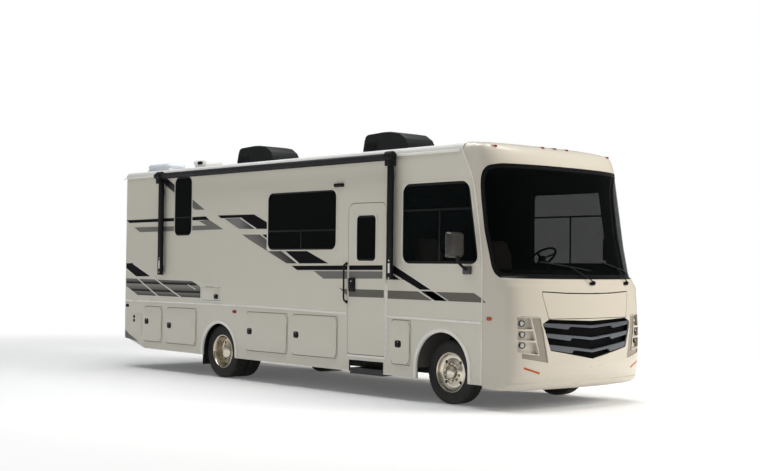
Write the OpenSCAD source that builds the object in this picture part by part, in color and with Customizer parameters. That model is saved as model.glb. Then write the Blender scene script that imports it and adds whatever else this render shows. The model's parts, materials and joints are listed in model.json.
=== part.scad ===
// Class A motorhome: ladder chassis, laminated living body, moulded front cap and everything that
// opens, steers and rolls. X forward, Y to the left, Z up, ground at z = 0, origin under the middle.

/* [Body] */
// Length over the rear bumper and the nose
overall_length = 9010; // [8600:10:10900]
// Width over the side walls
body_width = 2565; // [2420:5:3080]
// Height of the gutter above the ground
gutter_height = 3165; // [3120:5:3300]
// Height of the roof's crown above the gutter
roof_crown = 135; // [100:5:200]
// Distance between the axles
wheelbase = 4800; // [4300:10:5800]
// Front axle to nose
front_overhang = 1370; // [1350:5:1500]
// Reach of the rear bumper behind the body
bumper_reach = 100; // [60:5:160]
// Thickness of the laminated upper walls
wall_thick = 45; // [30:1:60]
// Thickness of the lower skirt panels
skirt_thick = 30; // [28:1:40]
// Thickness of the moulded front cap
cap_thick = 25; // [15:1:35]
// Thickness of the living floor
floor_thick = 80; // [60:5:100]
// Top of the living floor above the ground
floor_height = 1080; // [1060:5:1140]
// Height of the belt line between skirt and wall
belt_height = 1100; // [1090:5:1150]
// Lower edge of the skirt at the rear
skirt_rear_z = 340; // [320:5:360]
// Lower edge of the skirt at the front
skirt_front_z = 297; // [280:1:340]
// Lower edge of the tail, above the departure cut
tail_z = 505; // [470:5:540]
// Thickness of the hood lid
hood_thick = 12; // [8:1:16]

/* [Wheels] */
// Outer diameter of the tyres
tyre_d = 800; // [740:5:830]
// Width of one tyre
tyre_w = 226; // [190:2:240]
// Diameter of the rim at the bead
rim_d = 495; // [440:5:520]
// Middle of a front tyre from the centre line
front_track_half = 1000; // [980:5:1010]
// Middle of a twin pair from the centre line
rear_track_half = 962; // [950:2:970]
// Distance between the middles of the twin tyres
twin_spacing = 250; // [245:1:262]
// Radius of the front wheel opening
front_arch_r = 455; // [440:5:480]
// Radius of the rear wheel opening
rear_arch_r = 425; // [415:5:450]
// Top of the front wheel opening
front_arch_top = 909; // [895:1:920]
// Top of the rear wheel opening
rear_arch_top = 829; // [815:1:850]

/* [Doors and windows] */
// Width of the entry door
door_w = 750; // [650:5:900]
// Bottom of the entry door
door_bottom = 545; // [530:5:600]
// Height of the entry door
door_h = 2015; // [1700:5:2100]
// Entry door's front edge behind the front axle
door_back = 1025; // [1020:5:1060]
// Gap around every door and lid
door_gap = 7; // [6:0.5:10]
// Bottom of the baggage doors
bay_bottom = 455; // [440:5:480]
// Top of the baggage doors
bay_top = 1035; // [1000:5:1040]
// Thickness of a baggage door
bay_leaf = 25; // [18:1:26]
// Length of the living room window
living_window_w = 1553; // [1200:5:1700]
// Length of the bedroom window
bedroom_window_w = 485; // [400:5:600]

/* [Chassis] */
// Height of the frame rails' lower face
rail_z = 620; // [600:5:640]
// Height of a frame rail
rail_h = 230; // [200:5:240]
// Width of a frame rail
rail_w = 80; // [60:5:90]
// Outside width of the frame
frame_width = 940; // [860:5:960]
// Radius of the kingpins
kingpin_r = 18; // [14:1:24]
// Radius of the front wheel spindles
front_spindle_r = 32; // [25:1:40]
// Radius of the rear wheel spindles
rear_spindle_r = 42; // [35:1:50]
// Radial clearance of every pin in its bore
pin_fit = 0.08; // [0.05:0.01:0.1]
// Radius of the hitch pin hole
hitch_pin_r = 8.2; // [7:0.1:9]
// Outside width of the hitch receiver
receiver_w = 63.5; // [60:0.5:76]
// Wall of the hitch receiver
receiver_wall = 6.35; // [5:0.05:8]

/* [Hidden] */

eps = 0.01;
half_w = body_width / 2;
nose_x = overall_length / 2;
tail_x = -overall_length / 2 + bumper_reach;
front_x = nose_x - front_overhang;
rear_x = front_x - wheelbase;
hub_z = tyre_d / 2;
floor_z = floor_height - floor_thick;
rail_top = rail_z + rail_h;
rail_y = frame_width / 2 - rail_w / 2;
wall_in = half_w - wall_thick;
skirt_in = half_w - skirt_thick;

// Side seam between the walls and the front cap, x from the front axle against z
seam_top = 344;
seam = [[697, 200], [697, 1730], [655, 2120], [614, 2380], [552, 2722], [455, 2960],
    [seam_top, gutter_height]];
seam_gap = 0.25;

// Paint
cream = "#d9d1c1";
greige = "#cfc8b9";
black = "#17181a";
steel = "#3a3c3f";
glass = "#1c2226";
rubber = "#242424";
bright = "#c9cbcc";

// Hinges: a barrel on the leaf turns on a pin between two knuckles
pin_r = 3;
barrel_r = 7;
hinge_len = 80;
hinge_out = 8;
strap = 24;
strap_t = 3;
hinge_x = 3.5;

// Baggage doors, front and rear edge of each opening
door_front = front_x - door_back;
door_rear = door_front - door_w;
post = 115;
rear_arch_x = rear_x + 27;
front_arch_x = front_x + 20;
rear_bays_start = tail_x + 635;
rear_bays_end = rear_arch_x - rear_arch_r - 185;
rear_split = 0.39;
rear_bay_space = rear_bays_end - rear_bays_start - 130;
mid_bays_start = rear_arch_x + rear_arch_r + 275;
mid_bays_end = door_rear - 210;
mid_bay_w = (mid_bays_end - mid_bays_start - post) / 2;
bay_x = [
    [rear_bays_start, rear_bays_start + rear_bay_space * rear_split],
    [rear_bays_end - rear_bay_space * (1 - rear_split), rear_bays_end],
    [mid_bays_start, mid_bays_start + mid_bay_w],
    [mid_bays_end - mid_bay_w, mid_bays_end],
    [front_x - 900, front_x - 545]
];
bay_r = 30;
bay_depth = 700;
bay_sheet = 12;
bay_floor_z = bay_bottom - 28;
hatch = [rear_arch_x - 490, 1167, rear_arch_x + 17, 1384];

// Windows on the right: [x0, z0, x1, z1]
living_window = [door_rear - 255 - living_window_w, 1943, door_rear - 255, 2767];
bedroom_window = [tail_x + 1500, 2180, tail_x + 1500 + bedroom_window_w, gutter_height - 55];
cab_window = [[-723, 1766], [626, 1766], [626, 1861], [480, 2738], [440, 2780], [-723, 2780]];
door_pane = [door_rear + 152, 1790, door_rear + 563, 2400];
window_r = 60;
frame_lip = 22;
frame_out = 8;
pane_t = 8;

// Front cap, one entry a level: [z, nose behind nose_x, half width inset, corner fullness, bow]
cap_levels = [
    [222, 90, 22, 7, 165], [250, 62, 8, 7, 165], [300, 35, 0, 7, 165], [400, 10, 0, 7, 165],
    [560, 0, 0, 7, 165], [960, 0, 0, 7, 165], [1080, 12, 0, 7, 165], [1460, 48, 0, 6.5, 150],
    [1540, 62, 0, 4, 100], [1620, 76, 0, 2.8, 0], [2000, 152, 0, 2.7, 0], [2500, 252, 0, 2.7, 0],
    [2960, 350, 0, 2.7, 0], [3040, 390, 0, 2.7, 0], [3110, 440, 0, 2.7, 0],
    [gutter_height, 495, 2, 2.7, 0], [gutter_height + 40, 560, 14, 2.7, 0],
    [gutter_height + 75, 650, 45, 2.7, 0], [gutter_height + 105, 780, 105, 2.7, 0],
    [gutter_height + 125, 900, 240, 2.7, 0]
];
corner_x = 712;
glass_edge = [[650, 2690], [663, 2560], [722, 2160], [835, 1725], [880, 1645], [940, 1600], [1500, 1575],
    [1500, 2985], [830, 2985], [720, 2955], [668, 2890], [650, 2800]];
hood_half = 825;
hood_z = [1112, 1428];
hood_gap = 8;
hood_top_gap = 14;
hood_hinge_z = hood_z[1] + hood_top_gap / 2;
hood_hinge_x = nose_x - 53;
hood_barrel = 6;

// Outline of the cap at a level, inset by t; the rear edge runs back past the seam
function cap_start(level) = min(front_x + corner_x + 30, nose_x - level[1] - 250);
function cap_reach(level, s, d) = let (n = level[3], bow = level[4])
    bow * (1 - s * s) + (d - bow) * pow(max(0, 1 - pow(abs(s), n)), 1 / n);
function cap_point(level, a, t) = let (s = sin(a), x0 = cap_start(level))
    [x0 + cap_reach(level, s, nose_x - level[1] - t - x0), (half_w - level[2] - t) * s];
function cap_ring(level, t) = concat(
    [[front_x + 250, -(half_w - level[2] - t)]],
    [for (i = [0 : 44]) let (k = i / 22 - 1, a = 90 * sign(k) * pow(abs(k), 0.55)) cap_point(level, a, t)],
    [[front_x + 250, half_w - level[2] - t]]);

// Surface of the cap at a level, at a place across the nose
function cap_x(level, y) = let (x0 = cap_start(level))
    x0 + cap_reach(level, y / (half_w - level[2]), nose_x - level[1] - x0);

// Levels above roof_level lie under the crown, so an inner solid is lowered there by top
roof_level = 14;
lamp_level = 5;
lip_level = 8;
module cap_solid(t, top, first = 0, last = 19) {
    open_below = t > 0 ? 50 : 0;
    for (i = [first : last - 1])
        hull() {
            translate([0, 0, cap_levels[i][0] - (i == first ? open_below : 0)])
                linear_extrude(eps) polygon(cap_ring(cap_levels[i], t));
            translate([0, 0, cap_levels[i + 1][0] - eps - (t > 0 && i + 1 > roof_level ? top : 0)])
                linear_extrude(eps) polygon(cap_ring(cap_levels[i + 1], t));
        }
}

// Flat outline in x and z set on the right side, outer face at y = -out, t thick inward
module side_plate(out, t) {
    translate([0, -out + t, 0]) rotate([90, 0, 0]) linear_extrude(t) children();
}

module across(w) {
    translate([0, w / 2, 0]) rotate([90, 0, 0]) linear_extrude(w) children();
}

module lengthwise(x0, length) {
    translate([x0, 0, 0]) rotate([90, 0, 90]) linear_extrude(length) children();
}

module box(low, high) {
    translate(low) cube(high - low);
}

module round_rect(x0, z0, x1, z1, r) {
    translate([x0 + r, z0]) square([x1 - x0 - 2 * r, z1 - z0]);
    translate([x0, z0 + r]) square([x1 - x0, z1 - z0 - 2 * r]);
    for (x = [x0 + r, x1 - r], z = [z0 + r, z1 - r]) translate([x, z]) circle(r, $fn = 48);
}

module rod_y(x, z, r, y0, y1) {
    translate([x, y0, z]) rotate([-90, 0, 0]) cylinder(h = y1 - y0, r = r, $fn = 64);
}

module rod_x(y, z, r, x0, x1) {
    translate([x0, y, z]) rotate([0, 90, 0]) cylinder(h = x1 - x0, r = r, $fn = 48);
}

module left() {
    mirror([0, 1, 0]) children();
}

// Hinge about local z at the origin: the leaf lies towards -x and its outer face is at y = hinge_out
module hinge_leaf(r = barrel_r) {
    cylinder(h = hinge_len / 2, r = r, center = true, $fn = 32);
    translate([-strap, hinge_out - strap_t, -hinge_len / 4]) cube([strap, strap_t + 1, hinge_len / 2]);
    translate([-barrel_r, 0, -hinge_len / 4]) cube([barrel_r, hinge_out, hinge_len / 2]);
}

module hinge_bore() {
    cylinder(h = hinge_len, r = pin_r + pin_fit, center = true, $fn = 32);
}

module hinge_frame() {
    side = hinge_len / 4 - 0.5;
    cylinder(h = hinge_len, r = pin_r, center = true, $fn = 32);
    for (z = [-hinge_len / 2, hinge_len / 2 - side]) translate([0, 0, z]) {
        cylinder(h = side, r = barrel_r, $fn = 32);
        translate([0, hinge_out - strap_t, 0]) cube([strap, strap_t + 1, side]);
        cube([barrel_r, hinge_out, side]);
    }
}

module at_bay_hinge(i) {
    for (z = [bay_bottom + 110, bay_top - 110])
        translate([bay_x[i][1] - hinge_x, -half_w - hinge_out, z]) children();
}

module at_door_hinge() {
    for (z = [door_bottom + 180, door_bottom + door_h / 2, door_bottom + door_h - 180])
        translate([door_front + hinge_x, -half_w - hinge_out, z]) children();
}

module at_hatch_hinge() {
    for (x = [hatch[0] + 90, hatch[2] - 90])
        translate([x, -half_w - hinge_out, hatch[3] - hinge_x]) rotate([0, -90, 0]) children();
}

module at_hood_hinge() {
    for (y = [-200, 200])
        translate([hood_hinge_x, y, hood_hinge_z]) rotate([0, 0, 90]) rotate([0, -90, 0]) children();
}

// Tyre and rim section turned about y
module tyre_ring(y) {
    shoulder = 26;
    bead_inset = 14;
    bead_h = 35;
    side_h = (tyre_d - rim_d) / 2 - shoulder;
    translate([0, y, 0]) rotate([-90, 0, 0]) rotate_extrude($fn = 96) difference() {
        union() {
            translate([rim_d / 2, -tyre_w / 2 + bead_inset]) square([side_h, tyre_w - 2 * bead_inset]);
            translate([rim_d / 2 + bead_h, -tyre_w / 2]) square([side_h - bead_h - 10, tyre_w]);
            translate([tyre_d / 2 - shoulder - 1, -tyre_w / 2 + shoulder])
                square([shoulder + 1, tyre_w - 2 * shoulder]);
            for (s = [-1, 1]) translate([tyre_d / 2 - shoulder, s * (tyre_w / 2 - shoulder)])
                circle(shoulder, $fn = 32);
        }
        translate([rim_d / 2 - 1, -tyre_w]) square([1, 2 * tyre_w]);
    }
}

module rim_ring(y) {
    wall = 10;
    lip = 18;
    width = tyre_w - 36;
    translate([0, y, 0]) rotate([-90, 0, 0]) rotate_extrude($fn = 96) {
        translate([rim_d / 2 - wall, -width / 2]) square([wall, width]);
        for (s = [-1, 1]) translate([rim_d / 2 - wall, s * (width / 2 - 3) - 3]) square([wall + lip, 6]);
    }
}

module wheel_disc(y) {
    hand_holes = 4;
    difference() {
        rod_y(0, 0, rim_d / 2 - 5, y - 6, y + 6);
        for (i = [0 : hand_holes - 1]) rotate([0, 45 + i * 360 / hand_holes, 0])
            rod_y(rim_d / 2 - 75, 0, 32, y - 20, y + 20);
    }
}

module lug_nuts(y, length) {
    for (i = [0 : 9]) rotate([0, i * 36, 0]) rod_y(112, 0, 14, y - length, y);
}

module front_wheel() {
    y = -front_track_half;
    color(rubber) tyre_ring(y);
    color(bright) difference() {
        union() {
            rim_ring(y);
            wheel_disc(y - 45);
            rod_y(0, 0, 80, y - 100, y + 52);
            lug_nuts(y - 45, 34);
        }
        rod_y(0, 0, front_spindle_r + pin_fit, y - 80, y + 60);
    }
}

module twin_wheels() {
    y = -rear_track_half;
    color(rubber) for (s = [-1, 1]) tyre_ring(y + s * twin_spacing / 2);
    color(bright) difference() {
        union() {
            for (s = [-1, 1]) rim_ring(y + s * twin_spacing / 2);
            rod_y(0, 0, rim_d / 2 - 5, y - 40, y + 40);
            rod_y(0, 0, 105, y - 150, y + 190);
            lug_nuts(y - 40, 34);
        }
        rod_y(0, 0, rear_spindle_r + pin_fit, y - 130, y + 200);
    }
}

module right_front_wheel() { translate([front_x, 0, hub_z]) front_wheel(); }
module left_front_wheel() { left() translate([front_x, 0, hub_z]) front_wheel(); }
module right_rear_wheels() { translate([rear_x, 0, hub_z]) twin_wheels(); }
module left_rear_wheels() { left() translate([rear_x, 0, hub_z]) twin_wheels(); }

// Steering knuckle: two ears on the kingpin, a web and the wheel's spindle
eye_h = 120;
eye_r = 45;
ear_t = 40;
kingpin_y = 860;
web_y = kingpin_y + eye_r + 6;
web_t = 24;
spindle_end = front_track_half + 75;

module knuckle() {
    color(steel) translate([front_x, -kingpin_y, hub_z]) difference() {
        union() {
            for (s = [-1, 1]) translate([0, 0, s * (eye_h + ear_t + 1) / 2]) {
                cylinder(h = ear_t, r = eye_r, center = true, $fn = 48);
                translate([-eye_r, -(web_y - kingpin_y) - web_t, -ear_t / 2])
                    cube([2 * eye_r, web_y - kingpin_y + web_t, ear_t]);
            }
            translate([-60, -(web_y - kingpin_y) - web_t, -eye_h / 2 - ear_t])
                cube([120, web_t, eye_h + 2 * ear_t]);
            rod_y(0, 0, front_spindle_r, -(spindle_end - kingpin_y), -(web_y - kingpin_y));
        }
        cylinder(h = 2 * eye_h, r = kingpin_r + pin_fit, center = true, $fn = 48);
    }
}

module right_knuckle() { knuckle(); }
module left_knuckle() { left() knuckle(); }

module front_axle() {
    color(steel) {
        box([front_x - 35, -kingpin_y, hub_z - 45], [front_x + 35, kingpin_y, hub_z + 45]);
        for (s = [-1, 1]) translate([front_x, s * kingpin_y, hub_z]) {
            cylinder(h = eye_h, r = eye_r, center = true, $fn = 48);
            cylinder(h = eye_h + 2 * ear_t + 8, r = kingpin_r, center = true, $fn = 48);
        }
    }
}

module rear_axle() {
    inner = rear_track_half - 195;
    color(steel) translate([rear_x, 0, hub_z]) {
        rod_y(0, 0, 62, -inner, inner);
        rod_y(0, 0, rear_spindle_r, -rear_track_half - 120, rear_track_half + 120);
        translate([20, 0, 0]) sphere(r = 185, $fn = 48);
        rod_x(0, 0, 60, 150, 260);
    }
}

// Leaf springs, one pack a side at each axle
spring_w = 70;
spring_y = frame_width / 2 + spring_w / 2 + 12;
spring_t = 44;
function bow(x, half, rise) = rise * pow(x / half, 2);

module spring_pack(x, seat_z, half, rise) {
    steps = 12;
    for (s = [-1, 1]) translate([x, s * spring_y + spring_w / 2, 0]) rotate([90, 0, 0])
        linear_extrude(spring_w) polygon(concat(
            [for (i = [-steps : steps]) let (u = half * i / steps) [u, seat_z + bow(u, half, rise)]],
            [for (i = [steps : -1 : -steps]) let (u = half * i / steps)
                [u, seat_z + bow(u, half, rise) + spring_t * (1 - 0.6 * abs(i) / steps)]]));
    for (s = [-1, 1], e = [-1, 1]) translate([x + e * half, 0, 0]) {
        box([-30, min(s * (frame_width / 2), s * (spring_y + spring_w / 2)), seat_z + rise - 12],
            [30, max(s * (frame_width / 2), s * (spring_y + spring_w / 2)), rail_z + 70]);
    }
}

module leaf_springs() {
    color(steel) {
        spring_pack(front_x, hub_z + 45, 620, 110);
        spring_pack(rear_x, hub_z + 62, 720, 95);
    }
}

beam_x = [tail_x + 260, rear_bays_end + 90, rear_arch_x + rear_arch_r + 60, mid_bays_end + 90,
    front_x - 985, front_x - 420, front_x + 655];

module chassis_frame() {
    rail_rear = tail_x + 60;
    rail_front = nose_x - 330;
    cross_h = 140;
    color(steel) {
        for (s = [-1, 1])
            box([rail_rear, s * rail_y - rail_w / 2, rail_z],
                [rail_front, s * rail_y + rail_w / 2, rail_top]);
        for (x = [rail_rear, rear_x - 1500, rear_x - 700, rear_x + 560, rear_x + 1350, rear_x + 2150,
                rear_x + 2950, front_x - 1010, rail_front - 60])
            box([x, -rail_y, rail_top - cross_h - 10], [x + 60, rail_y, rail_top - 10]);
        for (x = [front_x - 100, front_x + 400], s = [-1, 1])
            box([x, min(s * engine_half, s * (rail_y - rail_w / 2)), rail_z + 40],
                [x + 60, max(s * engine_half, s * (rail_y - rail_w / 2)), rail_z + 140]);
        for (x = beam_x) {
            box([x - 30, -wall_in, floor_z - 50], [x + 30, wall_in, floor_z]);
            for (s = [-1, 1])
                box([x - 30, s * rail_y - rail_w / 2, rail_top], [x + 30, s * rail_y + rail_w / 2, floor_z]);
        }
    }
}

engine_x = [front_x - 240, front_x + 620];
engine_half = 330;
module engine() {
    color("#4b4d4f") box([engine_x[0], -engine_half, hub_z + 100],
        [engine_x[1], engine_half, floor_height + 130]);
}

module drive_shaft() {
    start = [engine_x[0] - 2.6, rail_z];
    end = [rear_x + 262.6, hub_z];
    run = norm(start - end);
    color(steel) {
        translate([end[0], 0, end[1]]) rotate([0, 90 - atan2(start[1] - end[1], start[0] - end[0]), 0])
            cylinder(h = run, r = 45, $fn = 48);
    }
}

module fuel_tank() {
    color("#2b2c2e") {
        box([rear_x - 1430, -rail_y + 60, rail_z - 120], [rear_x - 740, 190, rail_top]);
        for (x = [rear_x - 1300, rear_x - 900])
            box([x - 20, -rail_y + rail_w / 2, rail_z + 20], [x + 20, -rail_y + 60, rail_z + 120]);
    }
}

module exhaust() {
    y = 285;
    z = rail_z - 62;
    color("#6d6a65") {
        rod_x(y, z, 32, tail_x + 290, engine_x[0] - 0.3);
        rod_x(y, z, 58, rear_x + 1500, rear_x + 2300);
        for (x = [tail_x + 400, rear_x + 1400, rear_x + 2900])
            box([x, y, z + 20], [x + 30, rail_y, rail_z]);
    }
}

bumper_z = 560;
bracket_half = 30;
bracket_z = [bumper_z + 70, bumper_z + 108];

module rear_bumper() {
    z = bumper_z;
    color(black) {
        box([tail_x - bumper_reach, -1120, z], [tail_x - bumper_reach + 70, 1120, z + 110]);
        for (s = [-1, 1]) {
            box([tail_x - bumper_reach + 60, s * rail_y - bracket_half, bracket_z[0]],
                [tail_x + 60, s * rail_y + bracket_half, bracket_z[1]]);
            box([tail_x + wall_thick + 1, s * rail_y - bracket_half, bracket_z[0]],
                [tail_x + 60, s * rail_y + bracket_half, rail_top - 60]);
        }
    }
    color(steel) difference() {
        union() {
            box([tail_x - bumper_reach + 10, -receiver_w / 2, z - receiver_w],
                [tail_x + 230, receiver_w / 2, z]);
            box([tail_x + 150, -rail_y, z - 20], [tail_x + 230, rail_y, z + 60]);
        }
        box([tail_x - bumper_reach, -receiver_w / 2 + receiver_wall, z - receiver_w + receiver_wall],
            [tail_x + 140, receiver_w / 2 - receiver_wall, z - receiver_wall]);
        rod_y(tail_x - bumper_reach + 70, z - receiver_w / 2, hitch_pin_r, -receiver_w, receiver_w);
    }
}

module mud_flaps() {
    x = rear_bays_end + 90;
    color(rubber) for (s = [-1, 1])
        box([x - 38, s * 960 - 230, 170], [x - 30, s * 960 + 230, floor_z - 5]);
}

// Floor with the entry stairwell and the engine cover between the front seats
well_x = [door_rear + 30, door_front - 30];
well_depth = 440;
well_sheet = 20;
step_z = door_bottom + 10;
second_step_z = floor_z - 200;
step_open_z = 465;
cover_x = [engine_x[0] - 60, engine_x[1] + 60];
cover_half = 400;
cover_top = floor_height + 200;
cover_wall = 20;
step_rod_x = [well_x[0] + 90, well_x[1] - 90];
step_rod_z = 335;
step_rod_r = 10;
step_inset = 10;
step_depth = 250;

module floor() {
    door_clear = -wall_in + 6;
    tread_y = door_clear + 190;
    block_y = -half_w + step_inset + step_depth + 6;
    color("#8a8378") difference() {
        box([tail_x + wall_thick, -wall_in, floor_z], [front_x + 690, wall_in, floor_height]);
        box([well_x[0], -half_w, floor_z - 1], [well_x[1], -half_w + well_depth, floor_height + 1]);
        box([door_rear - door_gap, -half_w, floor_z - 1],
            [door_front + door_gap, door_clear, floor_height + 1]);
        box([cover_x[0] + cover_wall, -cover_half + cover_wall, floor_z - 1],
            [cover_x[1] - cover_wall, cover_half - cover_wall, floor_height + 1]);
    }
    color("#5b554c") {
        lengthwise(well_x[0] - well_sheet, well_x[1] - well_x[0] + 2 * well_sheet) polygon([
            [door_clear, step_z - well_sheet], [door_clear, step_z], [tread_y, step_z],
            [tread_y, second_step_z], [-half_w + well_depth, second_step_z],
            [-half_w + well_depth, floor_z], [-half_w + well_depth + well_sheet, floor_z],
            [-half_w + well_depth + well_sheet, second_step_z - well_sheet],
            [tread_y + well_sheet, second_step_z - well_sheet],
            [tread_y + well_sheet, step_z - well_sheet]]);
        for (x = [well_x[0] - well_sheet, well_x[1]])
            box([x, door_clear, step_z], [x + well_sheet, -half_w + well_depth + well_sheet, floor_z]);
        difference() {
            box([well_x[0], block_y, step_rod_z - 40],
                [well_x[1], block_y + 80, second_step_z - well_sheet]);
            for (x = step_rod_x) rod_y(x, step_rod_z, step_rod_r + pin_fit, -half_w, 0);
        }
    }
}

module engine_cover() {
    color("#4d4a45") difference() {
        box([cover_x[0], -cover_half, floor_height], [cover_x[1], cover_half, cover_top]);
        box([cover_x[0] + cover_wall, -cover_half + cover_wall, floor_height - 1],
            [cover_x[1] - cover_wall, cover_half - cover_wall, cover_top - cover_wall]);
    }
}

module entry_step() {
    back = -half_w + step_inset + step_depth;
    color(steel) {
        box([well_x[0] + 20, -half_w + step_inset, step_rod_z - 55],
            [well_x[1] - 20, back, step_rod_z + 25]);
        for (x = step_rod_x) rod_y(x, step_rod_z, step_rod_r, back - 10, back + 430);
    }
}

// Upper wall outline, from the belt to the gutter and forward to the seam
module wall_outline() {
    polygon(concat([[tail_x + wall_thick, belt_height], [tail_x + wall_thick, gutter_height]],
        [for (i = [len(seam) - 1 : -1 : 1]) [front_x + seam[i][0] - seam_gap, seam[i][1]]],
        [[front_x + seam[0][0] - seam_gap, belt_height]]));
}

departure = 660;

module skirt_outline() {
    polygon([[tail_x + wall_thick, belt_height], [tail_x + wall_thick, tail_z],
        [tail_x + departure, skirt_rear_z], [front_x + seam[0][0] - seam_gap, skirt_front_z],
        [front_x + seam[0][0] - seam_gap, belt_height]]);
}

module arch_cut(x, r, top) {
    translate([x, top - r]) circle(r, $fn = 96);
    translate([x - r, 0]) square([2 * r, top - r]);
}

module cab_window_cut() {
    polygon([for (p = cab_window) [front_x + p[0], p[1]]]);
}

module entry_cut() {
    round_rect(door_rear - door_gap, door_bottom - door_gap, door_front + door_gap,
        door_bottom + door_h + door_gap, 100 + door_gap);
    translate([door_rear - door_gap, door_bottom - door_gap]) square([door_w + 2 * door_gap, 300]);
}

module window_cut(w) {
    round_rect(w[0], w[1], w[2], w[3], window_r);
}

module plain_wall() {
    side_plate(half_w, wall_thick) difference() {
        wall_outline();
        cab_window_cut();
        window_cut(living_window);
        window_cut(bedroom_window);
        children();
    }
}

module right_wall() {
    color(greige) {
        difference() {
            plain_wall() {
                entry_cut();
                round_rect(hatch[0], hatch[1], hatch[2], hatch[3], bay_r);
            }
        }
        for (z = [door_bottom + door_h / 2, door_bottom + door_h - 180])
            translate([door_front + hinge_x, -half_w - hinge_out, z]) hinge_frame();
        at_hatch_hinge() hinge_frame();
    }
}

module left_wall() {
    color(greige) left() plain_wall() translate([0, -1000]) square(1);
}

module plain_skirt() {
    side_plate(half_w, skirt_thick) difference() {
        skirt_outline();
        arch_cut(front_arch_x, front_arch_r, front_arch_top);
        arch_cut(rear_arch_x, rear_arch_r, rear_arch_top);
        for (b = bay_x) round_rect(b[0], bay_bottom, b[1], bay_top, bay_r);
        children();
    }
    for (i = [0 : len(bay_x) - 1]) at_bay_hinge(i) hinge_frame();
}

module right_skirt() {
    color(greige) {
        plain_skirt() {
            entry_cut();
            translate([well_x[0], 0]) square([well_x[1] - well_x[0], step_open_z]);
        }
        translate([door_front + hinge_x, -half_w - hinge_out, door_bottom + 180]) hinge_frame();
    }
}

module left_skirt() {
    color(greige) left() plain_skirt() translate([0, -1000]) square(1);
}

module rear_wall() {
    corner = 40;
    low = tail_z;
    fit = 0.3;
    color(greige) difference() {
        translate([0, 0, low]) linear_extrude(gutter_height - low) {
            translate([tail_x + corner, -half_w]) square([wall_thick - corner, body_width]);
            translate([tail_x, -half_w + corner]) square([corner + 1, body_width - 2 * corner]);
            for (s = [-1, 1]) intersection() {
                translate([tail_x + corner, s * (half_w - corner)]) circle(corner, $fn = 64);
                translate([tail_x, s * half_w - (s > 0 ? corner : 0)]) square([corner + 1, corner]);
            }
        }
        for (s = [-1, 1]) box([tail_x - 1, s * rail_y - bracket_half - fit, bracket_z[0] - fit],
            [tail_x + wall_thick + 1, s * rail_y + bracket_half + fit, bracket_z[1] + fit]);
        box([tail_x - 1, -receiver_w / 2 - fit, low - 1],
            [tail_x + wall_thick + 1, receiver_w / 2 + fit, bumper_z + fit]);
    }
}

// Roof section across the body: rounded edges and a low crown
roof_edge = 95;
function roof_point(a) = [half_w - roof_edge + roof_edge * cos(a), roof_edge * sin(a)];
function crown(y) = roof_edge + (roof_crown - roof_edge) * (1 - pow(y / (half_w - roof_edge), 2));

module roof() {
    half = concat([for (a = [0 : 9 : 81]) roof_point(a)],
        [for (i = [0 : 10]) let (y = (half_w - roof_edge) * (1 - i / 10)) [y, crown(y)]]);
    color("#eceae4") {
        translate([0, 0, gutter_height]) lengthwise(tail_x, front_x + seam_top - seam_gap - tail_x)
            polygon(concat(half, [for (i = [len(half) - 1 : -1 : 0]) [-half[i][0], half[i][1]]]));
        for (s = [-1, 1]) translate([tail_x + 60, s > 0 ? half_w : -half_w - 14, gutter_height - 12])
            cube([front_x + 300 - tail_x - 60, 14, 24]);
    }
}

module seam_keep() {
    across(2 * body_width) polygon(concat([for (p = seam) [front_x + p[0] + seam_gap, p[1]]],
        [[front_x + seam_top + seam_gap, 4000], [nose_x + 500, 4000], [nose_x + 500, 0],
            [front_x + seam[0][0] + seam_gap, 0]]));
}

module glass_outline(shrink = 0) {
    across(2 * body_width) offset(delta = -shrink) polygon([for (p = glass_edge) [front_x + p[0], p[1]]]);
}

module front_prism(points) {
    translate([nose_x - 700, 0, 0]) rotate([90, 0, 90]) linear_extrude(900) polygon(points);
}

hood_taper = 75;
hood_straight = 55;
function hood_side(s, g, top) = [[s * (hood_half + g), hood_z[1] + top],
    [s * (hood_half + g), hood_z[1] - hood_straight], [s * (hood_half - hood_taper + g), hood_z[0] - g]];
function hood_outline(g, top) = concat(hood_side(1, g, top),
    [for (i = [2 : -1 : 0]) hood_side(-1, g, top)[i]]);
grille_outline = [[-752, 1094], [0, 1070], [752, 1094], [852, 1052], [735, 738], [0, 608], [-735, 738],
    [-852, 1052]];
lamp_y = 1130;
lamp_z = [1065, 935, 800];
lamp_r = 45;
lamp_fit = 0.5;
lamp_sunk = 66;
wiper_r = 14;
wiper_y = [58, 806];
wiper_z = 1536;

module at_wipers() {
    for (y = wiper_y) translate([cap_x(cap_levels[lip_level], y) - 4, y, wiper_z])
        rotate([0, 68, 0]) children();
}

module front_cap() {
    color(cream) {
        difference() {
            intersection() {
                cap_solid(0, 0);
                seam_keep();
            }
            cap_solid(cap_thick, cap_thick);
            intersection() {
                glass_outline();
                box([front_x + 600, -half_w - 1, 1500], [nose_x + 10, half_w + 1, 3050]);
            }
            front_prism(hood_outline(hood_gap, hood_top_gap));
            front_prism(grille_outline);
            for (s = [-1, 1], z = lamp_z) translate([nose_x - 500, s * lamp_y, z]) rotate([0, 90, 0])
                cylinder(h = 700, r = lamp_r + lamp_fit, $fn = 48);
            at_wipers() cylinder(h = 90, r = wiper_r + 0.3, center = true, $fn = 32);
        }
        at_hood_hinge() {
            cylinder(h = hinge_len, r = pin_r, center = true, $fn = 32);
            for (z = [-hinge_len / 2, hinge_len / 4 + 0.5]) translate([-2, -2, z])
                cube([hood_gap + 30, 10, hinge_len / 4 - 0.5]);
        }
    }
}

glass_t = 10;
module windshield() {
    color(glass) intersection() {
        difference() {
            cap_solid(0.3, 0, lip_level, roof_level);
            cap_solid(glass_t, 0, lip_level, roof_level);
        }
        glass_outline(0.5);
    }
}

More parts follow.
